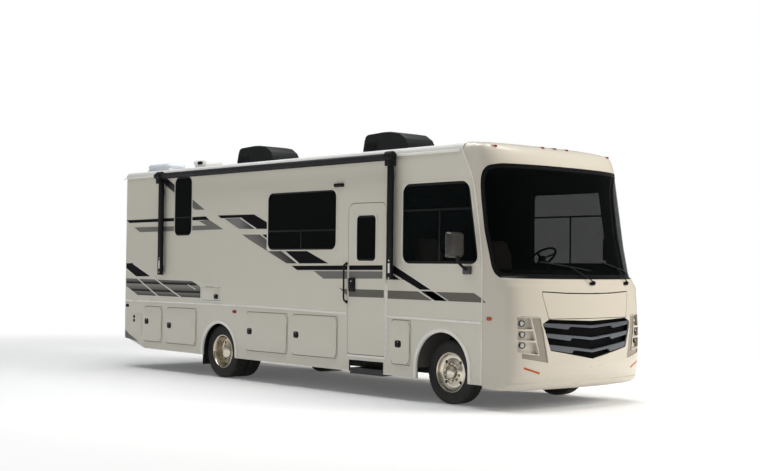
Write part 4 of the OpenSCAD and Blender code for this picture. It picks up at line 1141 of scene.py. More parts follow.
def makeWipers():
    shape = wiperShape
    parts, blades = [], []
    for y, reach in shape["pivots"]:
        z = shape["pivotZ"]
        hub = Vector((capX(y, z), y, z))
        out = Vector((0.968, 0, 0.25)).normalized()
        parts.append(rod(hub - out * 0.02, hub + out * 0.034, 0.026, 32, 0.005))
        parts.append(rod(hub + out * 0.012, hub + out * 0.046, 0.015, 24, 0.004))
        parts.append(block((hub.x - 0.012, y - 0.052, z - 0.022), (hub.x + 0.022, y + 0.038, z + 0.012), 0.007, 3))
        track = []
        for i in range(9):
            share = i / 8
            ay = y + (reach - y) * share
            az = z + 0.005 + (1.738 - z) * share ** 0.85
            track.append((capX(ay, az) + 0.040 - 0.010 * share, ay, az))
        parts.append(tube(track, shape["arm"], 3, 3))
        middle = Vector(track[-1])
        line = []
        for i in range(13):
            share = i / 12 - 0.5
            ay = middle.y + share * shape["blade"] * 0.985 if y < 0.5 else middle.y + share * shape["blade"] * 0.6
            az = middle.z - share * 0.10
            line.append((capX(ay, az) + 0.016, ay, az))
        blades.append(tube(line, 0.0075, 3, 3))
        blades.append(tube([(p[0] - 0.009, p[1], p[2]) for p in line], 0.0035, 3, 2))
    place(joined(parts), "wiperArms", "coach", blackSatin, "gloss_black", ["wipers"])
    place(joined(blades), "wiperBlades", "coach", blackPlastic, "gloss_black")


makeMirror()
makeWipers()
print("mirrors and wipers made")


# windows
# each opening: x0, z0, x1, z1 of the hole in the wall, and of the black that shows
windowShape = {
    "living": (-0.448, 1.943, 1.105, 2.767), "livingSeen": (-0.437, 1.944, 1.094, 2.766),
    "bedroom": (-2.905, 2.180, -2.420, 3.110), "bedroomSeen": (-2.902, 2.180, -2.423, 3.108),
    "door": (1.512, 1.790, 1.923, 2.400), "doorSeen": (1.531, 1.792, 1.905, 2.398),
    "cab": [(2.390, 1.744), (3.803, 1.744), (3.626, 2.802), (2.390, 2.802)],
    "cabSeen": [(2.428, 1.760), (3.772, 1.760), (3.600, 2.782), (2.428, 2.782)],
    "border": 0.016, "corner": 0.104, "frameWide": 0.030, "out": 0.0045, "bar": 0.024,
    "livingRail": 2.215, "livingPost": 0.328, "bedroomRail": 2.470, "cabRail": 2.440, "cabPost": 3.094,
}


def windowBorder(outer, seen, corner):
    border = plate(outer, -halfWidth - windowShape["out"], windowShape["out"] - 0.0004, "y", 0.045, 6)
    return softEdges(cut(border, plate(seen, -halfWidth - 0.05, 0.1, "y", corner, 8)), 0.0015, 2)


def sideWindows():
    shape = windowShape
    bar, wide = shape["bar"] / 2, shape["frameWide"]
    borders, frames, panes = [], [], []
    for key in ("living", "bedroom"):
        x0, z0, x1, z1 = shape[key]
        grow = shape["border"]
        seen = rectangle(*shape[key + "Seen"])
        borders.append(windowBorder(rectangle(x0 - grow, z0 - grow, x1 + grow, z1 + grow), seen, shape["corner"]))
        frames.append(ring(rectangle(x0 - 0.006, z0 - 0.006, x1 + 0.006, z1 + 0.006), -halfWidth - 0.0028,
                           0.010, wide, "y",
                           0.030, 4, edge=0.002))
        panes.append(plate(rectangle(x0 + 0.004, z0 + 0.004, x1 - 0.004, z1 - 0.004), -halfWidth - 0.0004, 0.006, "y",
                           0.030, 4))
    (x0, z0, x1, z1), rail, post = shape["living"], shape["livingRail"], shape["livingPost"]
    frames.append(block((x0, -halfWidth - 0.0022, rail - bar), (x1, -halfWidth + 0.003, rail + bar), 0.001))
    frames.append(block((post - bar, -halfWidth - 0.0022, z0), (post + bar, -halfWidth + 0.003, rail), 0.001))
    (x0, z0, x1, z1), rail = shape["bedroom"], shape["bedroomRail"]
    frames.append(block((x0, -halfWidth - 0.0022, rail - bar), (x1, -halfWidth + 0.003, rail + bar), 0.001))
    cab = [(x + dx, z + dz) for (x, z), dx, dz in zip(shape["cab"], (-0.012, 0.013, 0.012, -0.012),
                                                      (-0.012, -0.012, 0.012, 0.012))]
    borders.append(windowBorder(cab, shape["cabSeen"], 0.125))
    frame = ring(shape["cab"], -halfWidth - 0.0028, 0.014, 0.052, "y", 0.060, 6, edge=0.002)
    rail, post = shape["cabRail"], shape["cabPost"]
    bars = [block((2.41, -halfWidth - 0.0022, rail - bar), (3.670, -halfWidth + 0.006, rail + bar), 0.001),
            block((post - bar, -halfWidth - 0.0022, 1.77), (post + bar, -halfWidth + 0.006, rail), 0.001)]
    bothSides(joined(borders), "sideWindowBorders", ["coach"], bodyPaintLightened, "body_paint")
    bothSides(joined(frames), "sideWindowFrames", ["coach"], blackSatin, "gloss_black",
              ["right_windows", "left_windows"])
    bothSides(joined(panes), "sideWindowPanes", ["coach"], darkGlass, "tinted_glass")
    bothSides(joined([frame] + bars), "cabWindowFrame", ["coach"], blackSatin, "gloss_black")
    inner = [(2.430, 1.784), (3.758, 1.784), (3.594, 2.764), (2.430, 2.764)]
    bothSides(plate(inner, -halfWidth - 0.0004, 0.006, "y", 0.03, 4), "cabWindowPane", ["coach"], cabGlass,
              "tinted_glass")


def doorWindow():
    x0, z0, x1, z1 = windowShape["door"]
    border = windowBorder(rectangle(x0 - 0.014, z0 - 0.014, x1 + 0.014, z1 + 0.014),
                          rectangle(*windowShape["doorSeen"]), 0.060)
    place(border, "doorWindowBorder", "entry_door", bodyPaintLightened, "body_paint")
    frame = ring(rectangle(x0 - 0.004, z0 - 0.004, x1 + 0.004, z1 + 0.004), -halfWidth - 0.0028, 0.010, 0.034,
                 "y", 0.030, 4,
                 edge=0.002)
    place(frame, "doorWindowFrame", "entry_door", blackSatin, "gloss_black", ["door_window"])
    pane = plate(rectangle(x0 + 0.004, z0 + 0.004, x1 - 0.004, z1 - 0.004), -halfWidth - 0.0004, 0.006, "y", 0.03, 4)
    place(pane, "doorWindowPane", "entry_door", darkGlass, "tinted_glass")


sideWindows()
doorWindow()
print("windows made")


# striping
# outlines as (x, z) on the wall; each is a set of corners in order
striping = {
    "forward": 0.075, "lift": 0.0014, "doorBreaks": [(-4.360, 1.338, "coach"), (1.376, 2.088, "entry_door"),
                                                    (2.140, 3.816, "coach"), (3.846, 3.99, "coach")],
    "bands": [
        ("upperBar", "ink", [(-4.45, 2.459), (-2.113, 2.471), (-2.022, 2.416), (-4.356, 2.410)]),
        ("lowerBar", "slateGrey", [(-4.201, 2.335), (-2.084, 2.329), (-2.294, 2.400), (-2.022, 2.416),
                                   (-1.634, 2.262), (-4.031, 2.252)]),
        ("roofSlash", "dropFade", [(-3.287, 3.138), (-3.283, 3.008), (-2.407, 2.583), (-2.142, 2.576)]),
        ("midEdge", "ink", [(-1.793, 2.478), (-0.861, 2.471), (-0.760, 2.432), (-1.702, 2.432)]),
        ("midPatch", "midFade", [(-1.620, 2.426), (-1.215, 2.426), (-0.840, 2.256), (-1.229, 2.263)]),
        ("midBlock", "ink", [(-1.180, 2.432), (-0.760, 2.432), (-0.517, 2.338), (-0.515, 2.251), (-0.797, 2.256)]),
        ("lowPatch", "lowFade", [(-1.154, 2.177), (-0.700, 2.170), (0.172, 1.751), (-0.066, 1.751),
                                 (-0.959, 2.094)]),
        ("lowBlock", "ink", [(-0.660, 2.170), (-0.100, 2.170), (0.354, 1.941), (0.861, 1.755), (0.220, 1.751)]),
        ("waistBar", "ink", [(0.046, 1.717), (1.971, 1.735), (1.971, 1.673), (0.177, 1.657)]),
        ("waistGrey", "slateGrey", [(0.550, 1.647), (1.971, 1.655), (1.971, 1.560), (0.762, 1.543)]),
        ("lowGrey", "warmGrey", [(1.090, 1.429), (1.150, 1.411), (2.000, 1.411), (2.000, 1.308), (1.290, 1.308)]),
        ("armTip", "ink", [(2.178, 1.612), (2.385, 1.550), (2.178, 1.550)]),
        ("cabGrey", "warmGrey", [(2.077, 1.407), (3.621, 1.407), (3.731, 1.354), (3.824, 1.295), (2.077, 1.301)]),
        ("slashUpper", "ink", [(2.178, 1.738), (2.880, 1.430), (2.676, 1.430), (2.178, 1.634)]),
        ("slashLower", "ink", [(2.712, 1.413), (2.907, 1.413), (3.155, 1.299), (2.948, 1.299)]),
        ("tailBlock", "ink", [(-4.440, 1.731), (-4.226, 1.739), (-3.657, 1.522), (-4.115, 1.516),
                              (-4.437, 1.642)]),
        # grey sheet at the lower rear corner: painted shade under the rear cap's slanted edge
        ("tailCornerShade", "slateGrey", [(-4.475, 0.640), (-4.315, 0.552), (-4.010, 0.437), (-4.475, 0.487)]),
        ("tailField", "banded", [(-4.432, 1.480), (-2.469, 1.462), (-2.201, 1.368), (-2.197, 1.205),
                                 (-4.062, 1.207), (-4.428, 1.352)]),
    ],
    # pale lines laid over the bands: from, to, width
    "lines": [("tailLine1", (-4.437, 1.642), (-3.415, 1.190), 0.022), ("tailLine2", (-4.226, 1.733), (-2.770,
                                                                                                      1.199), 0.022),
              ("midLine", (-1.208, 2.424), (-0.797, 2.258), 0.014), ("lowLine1", (-0.690, 2.170),
                                                                     (-0.460, 2.062), 0.014),
              ("lowLine2", (-0.149, 1.943), (0.210, 1.752), 0.016), ("tailNotch", (-2.580, 1.405),
                                                                     (-2.355, 1.331), 0.014),
              ("slashEdge1", (2.178, 1.618), (2.945, 1.288), 0.016), ("slashEdge2", (2.178, 1.748),
                                                                      (3.185, 1.300), 0.012)],
}


def lineOutline(start, end, width):
    start, end = Vector(start), Vector(end)
    run = (end - start).normalized()
    side = Vector((-run.y, run.x)) * width / 2
    return [tuple(start + side), tuple(end + side), tuple(end - side), tuple(start - side)]


def openingCutters():
    shape = windowShape
    lip = shape["border"] - 0.002
    cutters = []
    for key in ("living", "bedroom"):
        x0, z0, x1, z1 = shape[key]
        cutters.append(((x0, x1), rectangle(x0 - lip, z0 - lip, x1 + lip, z1 + lip)))
    return cutters


def stripe(name, outline, material, lift, side):
    forward = striping["forward"]
    outline = [(x + forward, z) for x, z in outline]
    low, high = min(x for x, _ in outline), max(x for x, _ in outline)
    zones = striping["doorBreaks"] if side == "right" else [(-4.360, 3.816, "coach"), (3.846, 3.99, "coach")]
    for i, (x0, x1, body) in enumerate(zones):
        if high <= x0 + 0.002 or low >= x1 - 0.002:
            continue
        sheet = plate(outline, -halfWidth - lift, lift + 0.0004, "y")
        if low < x0 or high > x1:
            cut(sheet, plate(rectangle(x0, 0.3, x1, 3.3), -halfWidth - 0.1, 0.2, "y"), "INTERSECT")
        for (wx0, wx1), hole in openingCutters():
            if high > wx0 and low < wx1:
                cut(sheet, plate(hole, -halfWidth - 0.1, 0.2, "y", 0.070, 6))
        if side == "left":
            sheet = otherSide(sheet)
        place(sheet, side + "_" + name + (str(i + 1) if i else ""), body, material, "body_paint")


def makeStriping():
    inks = {"ink": decalBlack, "slateGrey": decalGreyAndShade, "warmGrey": decalWarm, "dropFade": decalDrop,
            "midFade": decalMid, "lowFade": decalLow, "banded": decalBanded}
    for side in ("right", "left"):
        for name, ink, outline in striping["bands"]:
            stripe(name, outline, inks[ink], striping["lift"], side)
        for name, start, end, width in striping["lines"]:
            stripe(name, lineOutline(start, end, width), decalPale, striping["lift"] * 1.6, side)


makeStriping()
print("striping made")


# baggage doors, hatches and the entry door
bayShape = {"runs": [(-3.770, -3.2271), (-3.0971, -2.248), (-0.938, 0.0485), (0.1635, 1.150), (2.235, 2.590)],
            "low": 0.455, "high": 1.035, "gap": 0.0085, "corner": 0.085, "out": 0.0225,
            "latch": (0.120, 0.094), "latchOut": 0.024, "latchIn": (0.104, 0.104, 0.106, 0.106,
                                                                    0.142), "latchUp": (0.040, 0, 0, 0, -0.022)}
hatchShape = {"box": (-2.128, 1.167, -1.621, 1.384), "corner": 0.016, "out": 0.007,
              "tailBox": (-4.189, 0.549, -3.848, 0.902)}
doorShape = {"x": (1.360, 2.110), "z": (0.545, 2.560), "handle": (1.452, 1.470), "hingeX": 2.1165,
             "grab": (1.326, 1.235, 1.752), "step": (1.41, 2.06)}


def latchAt(x, z, scale=1.0):
    w, h = bayShape["latch"][0] * scale / 2, bayShape["latch"][1] * scale / 2
    out = bayShape["latchOut"]
    plateau = plate(rectangle(x - w, z - h, x + w, z + h), -halfWidth - out, out, "y", 0.030 * scale, 6, edge=0.003)
    paddle = plate(rectangle(x - w * 0.62, z - h * 0.70, x + w * 0.62, z + h * 0.30), -halfWidth - out - 0.004, 0.006,
                   "y", 0.008 * scale, 4, edge=0.002)
    lock = rod((x, -halfWidth - out - 0.003, z + h * 0.58), (x, -halfWidth - out + 0.002, z + h * 0.58),
               0.007 * scale, 20,
               0.001)
    return joined([plateau, paddle]), lock


def makeBayDoors():
    shape = bayShape
    middle = (shape["low"] + shape["high"]) / 2
    for i, (x0, x1) in enumerate(shape["runs"], 1):
        gap = shape["gap"]
        outline = rectangle(x0 + gap, shape["low"] + gap, x1 - gap, shape["high"] - gap)
        skin = plate(outline, -halfWidth - shape["out"], shape["out"] - 0.0005, "y", shape["corner"], 8)
        softEdges(skin, 0.0215, 6, 40)
        bodies = ["right_bay_door_%d" % i, "left_bay_door_%d" % i]
        bothSides(skin, "bayDoorSkin%d" % i, bodies, bodyPaintLightened, "body_paint")
        paddle, lock = latchAt(x0 + shape["latchIn"][i - 1], middle + shape["latchUp"][i - 1])
        bothSides(paddle, "bayLatch%d" % i, bodies, blackSatin, "gloss_black")
        bothSides(lock, "bayLock%d" % i, bodies, stainless, "wheel_bright")


def makeHatches():
    shape = hatchShape
    x0, z0, x1, z1 = shape["box"]
    skin = plate(rectangle(x0 + 0.009, z0 + 0.009, x1 - 0.009, z1 - 0.009), -halfWidth - shape["out"],
                 shape["out"] - 0.0005,
                 "y", shape["corner"], 5)
    place(softEdges(skin, 0.0055, 4, 40), "waterHatchSkin", "water_hatch", bodyPaintLightened, "body_paint")
    rim = ring(rectangle(x0 - 0.012, z0 - 0.012, x1 + 0.016, z1 + 0.012), -halfWidth - 0.0085, 0.010, 0.013,
               "y", 0.026, 5,
               edge=0.002)
    place(rim, "waterHatchRim", "coach", trimWhite, "body_paint")
    paddle, lock = latchAt(x1 - 0.092, z0 + 0.068, 0.78)
    place(paddle, "waterHatchLatch", "water_hatch", blackSatin, "gloss_black")
    place(lock, "waterHatchLock", "water_hatch", stainless, "wheel_bright")
    x0, z0, x1, z1 = shape["tailBox"]
    panel = plate(rectangle(x0, z0, x1, z1), -halfWidth - 0.005, 0.0055, "y", 0.018, 5)
    place(softEdges(panel, 0.0035, 3, 40), "tailHatchPanel", "coach", bodyPaintLightened, "body_paint")
    buttons = [plate(rectangle(x0 + 0.110 - 0.026, z - 0.024, x0 + 0.110 + 0.026, z + 0.024),
                     -halfWidth - 0.012, 0.008,
                     "y", 0.016, 5, edge=0.002) for z in (z1 - 0.055, z1 - 0.118)]
    place(joined(buttons), "tailHatchLocks", "coach", blackSatin, "gloss_black")


def makeDoorFittings():
    shape = doorShape
    x, z = shape["handle"]
    base = plate(rectangle(x - 0.056, z - 0.092, x + 0.056, z + 0.092), -halfWidth - 0.031, 0.031, "y", 0.012,
                 5, edge=0.004)
    pull = plate(rectangle(x - 0.038, z - 0.074, x + 0.038, z + 0.012), -halfWidth - 0.037, 0.009, "y", 0.010,
                 5, edge=0.003)
    place(joined([base, pull]), "doorHandle", "entry_door", blackSatin, "gloss_black")
    locks = [rod((x, -halfWidth - 0.035, z + dz), (x, -halfWidth - 0.028, z + dz), 0.011, 24,
                 0.001) for dz in (0.050,)]
    place(joined(locks), "doorLock", "entry_door", stainless, "wheel_bright")
    hx = shape["hingeX"]
    low, high = 0.535, 1.500
    strips = []
    count = 11
    for i in range(count):
        z0 = low + (high - low) * i / count + 0.0015
        z1 = low + (high - low) * (i + 1) / count - 0.0015
        strips.append(rod((hx, -halfWidth - 0.005, z0), (hx, -halfWidth - 0.005, z1), 0.0095, 20, 0.001))
        strips.append(block((hx + 0.002, -halfWidth - 0.0045, z0), (hx + 0.030, -halfWidth - 0.0004, z1), 0.0015, 2))
    place(joined(strips), "doorPianoHinge", "coach", trimWhite, "body_paint")
    gx, low, high = shape["grab"]
    out = halfWidth + 0.052
    grab = tube([(gx, -halfWidth + 0.001, high), (gx, -halfWidth - 0.034, high - 0.004), (gx, -out, high - 0.026),
                 (gx, -out, high - 0.10), (gx, -out, (low + high) / 2), (gx, -out, low + 0.12), (gx, -out,
                                                                                                 low + 0.045),
                 (gx + 0.004, -halfWidth - 0.036, low + 0.010), (gx + 0.006, -halfWidth + 0.001, low)], 0.0125, 3, 4)
    feet = [rod((gx + dx, -halfWidth - 0.006, z), (gx + dx, -halfWidth, z), 0.024, 32, 0.002)
            for z, dx in ((high, 0), (low, 0.006))]
    place(joined([grab] + feet), "grabHandle", "coach", blackSatin, "gloss_black")
    (x0, x1), (z0, z1) = shape["x"], shape["z"]
    sill = block((x0 - 0.004, -halfWidth - 0.006, z0 - 0.038), (x1 + 0.004, -halfWidth + 0.004, z0 - 0.010), 0.004, 3)
    place(sill, "doorSill", "coach", trimWhite, "body_paint")
    s0, s1 = shape["step"]
    ribs = [block((s0 + 0.03, -1.272 + 0.020 + 0.030 * i, 0.3585), (s1 - 0.03, -1.272 + 0.032 + 0.030 * i,
                                                                    0.3635), 0.0015, 2)
            for i in range(7)]
    place(joined(ribs), "stepGrips", "entry_step", blackPlastic, "frame_paint")


makeBayDoors()
makeHatches()
makeDoorFittings()
print("doors and hatches made")


# wheels
wheelShape = {
    "frontY": 1.000, "rearInner": 0.837, "rearOuter": 1.087, "lugRing": 0.112, "lugs": 10, "handRing": 0.176,
    "handR": 0.021, "hands": 4,
    "tyre": [(0.2485, 0.080), (0.250, 0.097), (0.262, 0.106), (0.280, 0.1095), (0.284, 0.1115), (0.292, 0.1115),
             (0.296, 0.1120), (0.330, 0.1128), (0.352, 0.1122), (0.356, 0.1134), (0.362, 0.1120), (0.378, 0.1065),
             (0.390, 0.100), (0.3960, 0.092), (0.3985, 0.080), (0.3992, 0.066), (0.3910, 0.064), (0.3910, 0.056),
             (0.3994, 0.054), (0.3998, 0.026), (0.3915, 0.024), (0.3915, 0.016), (0.3999, 0.014)],
    "frontLiner": [(0.2525, 0.094), (0.2530, 0.101), (0.2480, 0.1045), (0.2400, 0.1030), (0.2340, 0.094),
                   (0.2290, 0.078), (0.2230, 0.060), (0.2100, 0.051), (0.1900, 0.049), (0.1560, 0.051),
                   (0.1450, 0.056), (0.1370, 0.060), (0.0900, 0.062), (0.0830, 0.066), (0.0800, 0.078),
                   (0.0790, 0.100), (0.0740, 0.110), (0.0620, 0.116), (0.0360, 0.120), (0.0, 0.1205)],
    "rearLiner": [(0.2525, 0.094), (0.2530, 0.101), (0.2480, 0.1045), (0.2400, 0.1030), (0.2330, 0.093),
                  (0.2260, 0.070), (0.2200, 0.030), (0.2140, -0.010), (0.2020, -0.034), (0.1850, -0.042),
                  (0.1560, -0.040), (0.1450, -0.033), (0.1360, -0.030), (0.1130, -0.029), (0.1100, -0.022),
                  (0.1080, 0.010), (0.1040, 0.034), (0.0940, 0.044), (0.0600, 0.050), (0.0, 0.0515)],
    "shell": 0.0035, "blocks": 52,
}


def around(thing, count, centre):
    copies = [thing]
    for i in range(1, count):
        pick(thing)
        bpy.ops.object.duplicate()
        twin = bpy.context.object
        turn = Matrix.Rotation(2 * math.pi * i / count, 4, "Y")
        twin.matrix_world = Matrix.Translation(centre) @ turn @ Matrix.Translation(-Vector(centre))
        copies.append(settle(twin))
    return joined(copies)


def makeTyre(centre):
    half = wheelShape["tyre"]
    profile = half + [(r, -y) for r, y in reversed(half)]
    tyre = turned(profile, centre, 96, (0, -1, 0), 24)
    x, y, z = centre
    blocks = []
    for sign in (1, -1):
        clearSelection()
        bpy.ops.mesh.primitive_cube_add(size=1, location=(x, y + sign * 0.086, z + 0.3935),
                                        scale=(0.026, 0.030, 0.012))
        lug = settle(bpy.context.object)
        for corner in lug.data.vertices:
            corner.co.x += 0.006 * (1 if (corner.co.y - y) * sign > 0.086 else -1)
            if (corner.co.y - y) * sign > 0.09:
                corner.co.z -= 0.0045
        blocks.append(around(lug, wheelShape["blocks"], centre))
    return joined([tyre] + blocks)


def makeLiner(centre, points, lugOut, handOut):
    back = [(max(0.0, r - 0.0012) if r else 0.0, y - wheelShape["shell"]) for r, y in reversed(points)]
    liner = turned(points + back, centre, 96, (0, -1, 0), 30)
    x, y, z = centre
    r = wheelShape["handRing"]
    for i in range(wheelShape["hands"]):
        angle = math.radians(45 + 360 / wheelShape["hands"] * i)
        hx, hz = x + r * math.cos(angle), z + r * math.sin(angle)
        cut(liner, rod((hx, y - handOut - 0.03, hz), (hx, y - handOut + 0.03, hz), wheelShape["handR"], 28))
    lug = turned([(0.0165, -0.004), (0.0165, 0.012), (0.0150, 0.024), (0.0110, 0.031), (0.0, 0.033), (0.0, -0.004)],
                 (x, y - lugOut, z + wheelShape["lugRing"]), 20, (0, -1, 0), 35)
    lugs = around(lug, wheelShape["lugs"], centre)
    valve = rod((x + 0.150, y - handOut, z + 0.125), (x + 0.163, y - handOut - 0.045, z + 0.136), 0.004, 12, 0.001)
    return joined([smooth(liner, 30), lugs, valve])


def makeWheels():
    shape = wheelShape
    frontCentre = Vector((frontX, -shape["frontY"], hubZ))
    outer = Vector((rearX, -shape["rearOuter"], hubZ))
    inner = Vector((rearX, -shape["rearInner"], hubZ))
    frontBodies = ["right_front_wheel", "left_front_wheel"]
    rearBodies = ["right_rear_wheels", "left_rear_wheels"]
    bothSides(makeTyre(frontCentre), "frontTyre", frontBodies, rubberBlack, "rubber", frontBodies)
    bothSides(makeTyre(outer), "rearOuterTyre", rearBodies, rubberBlack, "rubber", rearBodies)
    bothSides(makeTyre(inner), "rearInnerTyre", rearBodies, rubberBlack, "rubber")
    bothSides(makeLiner(frontCentre, shape["frontLiner"], 0.061, 0.050), "frontWheelLiner", frontBodies, stainless,
              "wheel_bright")
    bothSides(makeLiner(outer, shape["rearLiner"], -0.030, -0.041), "rearWheelLiner", rearBodies, stainless,
              "wheel_bright")
    backs = []
    for centre, reach, deep in ((frontCentre, 0.09, -0.085), (outer, 0.088, -0.104), (inner, 0.088, -0.104)):
        profile = [(0.2490, reach), (0.2490, deep), (0.2420, deep), (0.2420, reach - 0.004)]
        backs.append(turned(profile, centre, 72, (0, -1, 0), 30))
    discs = []
    for centre, at in ((frontCentre, 0.030), (outer, -0.075), (inner, 0.075)):
        profile = [(0.2425, at), (0.2425, at - 0.010), (0.060, at - 0.016), (0.060, at - 0.004)]
        discs.append(turned(profile, centre, 72, (0, -1, 0), 30))
    bothSides(joined([backs[0], discs[0]]), "frontRim", frontBodies, frameBlack, "wheel_bright")
    bothSides(joined(backs[1:] + discs[1:]), "rearRims", rearBodies, frameBlack, "wheel_bright")


makeWheels()
print("wheels made")


# awning
awningShape = {"tube": (-3.325, 2.315), "tubeY": 1.3875, "tubeZ": 3.145, "tubeR": 0.043, "heads": (-3.190, 2.280),
               "headR": 0.070, "arms": ((-3.258, -3.138), (2.208, 2.328)), "armY": (1.3000, 1.3825), "armLow": 1.552,
               "slots": ((1.652, 1.786), (1.634, 1.764)), "knobs": ((1.597, 1.820), (1.574, 1.800))}


def makeAwning():
    shape = awningShape
    y, z, r = -shape["tubeY"], shape["tubeZ"], shape["tubeR"]
    x0, x1 = shape["tube"]
    profile = [(r - 0.001, 0.0), (r, 0.004), (r, x1 - x0 - 0.004), (r - 0.001, x1 - x0)]
    roll = turned([(0.0, 0.0)] + profile + [(0.0, x1 - x0)], (x0, y, z), 48, (1, 0, 0), 30)
    flap = block((x0 + 0.03, y - 0.012, z - r - 0.008), (x1 - 0.03, y + 0.010, z - r + 0.012), 0.004, 2)
    place(joined([roll, flap]), "awningRoll", "coach", awningFabric, "gloss_black", ["awning"])
    heads, arms, slots, knobs = [], [], [], []
    for (a0, a1), hx, (s0, s1), knobZ in zip(shape["arms"], shape["heads"], shape["slots"], shape["knobs"]):
        hr = shape["headR"]
        heads.append(turned([(0.0, -0.064), (hr * 0.84, -0.064), (hr, -0.052), (hr, 0.052), (hr * 0.84, 0.064),
                             (0.0, 0.064)],
                            (hx, y, z), 40, (1, 0, 0), 30))
        heads.append(block((hx - 0.052, y - 0.055, z - 0.125), (hx + 0.052, y + 0.070, z - 0.02), 0.012, 3))
        for dx in (-0.066, 0.066):
            heads.append(rod((hx + dx - 0.004, y, z), (hx + dx + 0.004, y, z), 0.020, 24, 0.003))
        nearY, farY = -shape["armY"][0], -shape["armY"][1]
        middle = (a0 + a1) / 2
        arm = block((a0 + 0.012, farY, shape["armLow"]), (a1 - 0.012, farY + 0.034, z - 0.06), 0.006, 3)
        cut(arm, plate(rectangle(middle - 0.017, s0, middle + 0.021, s1), farY - 0.02, 0.024, "y", 0.012, 5))
        arms.append(arm)
        arms.append(block((a0 + 0.020, farY + 0.030, shape["armLow"] + 0.03), (a1 - 0.058, nearY, z - 0.10),
                          0.006, 3))
        arms.append(plate([(a0 - 0.002, shape["armLow"] - 0.001), (a1 + 0.002, shape["armLow"] - 0.001),
                           (a1 - 0.012, 1.600),
                           (a0 + 0.012, 1.600)], farY + 0.012, 0.040, "y", edge=0.004))
        for low, high in ((1.600, 1.700), (z - 0.30, z - 0.20)):
            arms.append(block((a0 + 0.018, nearY - 0.004, low), (a1 - 0.078, -halfWidth + 0.0005, high), 0.004, 2))
        slots.append(plate(rectangle(middle - 0.0165, s0 + 0.001, middle + 0.0205, s1 - 0.001), farY + 0.0015,
                           0.004, "y",
                           0.011, 5))
        for kz in knobZ:
            knobs.append(turned([(0.0, -0.004), (0.013, -0.004), (0.013, 0.003), (0.008, 0.006), (0.0, 0.007)],
                                (middle + 0.004, farY, kz), 24, (0, -1, 0), 30))
    place(joined(heads), "awningHeads", "coach", blackSatin, "gloss_black")
    place(joined(arms), "awningArms", "coach", blackSatin, "gloss_black")
    place(joined(slots), "awningSlots", "coach", trimWhite, "wheel_bright")
    place(joined(knobs), "awningKnobs", "coach", stainless, "wheel_bright")


makeAwning()
print("awning made")


# roof units
roofShape = {"centres": (-2.120, 0.990), "halfY": 0.320, "base": 3.300, "topShare": 0.88,
             "side": [(-0.465, 0.045), (-0.465, 0.130), (-0.458, 0.240), (-0.440, 0.308), (-0.395, 0.334),
                      (-0.060, 0.350),
                      (0.080, 0.347), (0.270, 0.315), (0.400, 0.235), (0.452, 0.140), (0.465, 0.045)],
             "vent": (-2.915, -2.565, -0.95, -0.59), "dome": (-4.315, -3.610, -0.95, -0.59)}


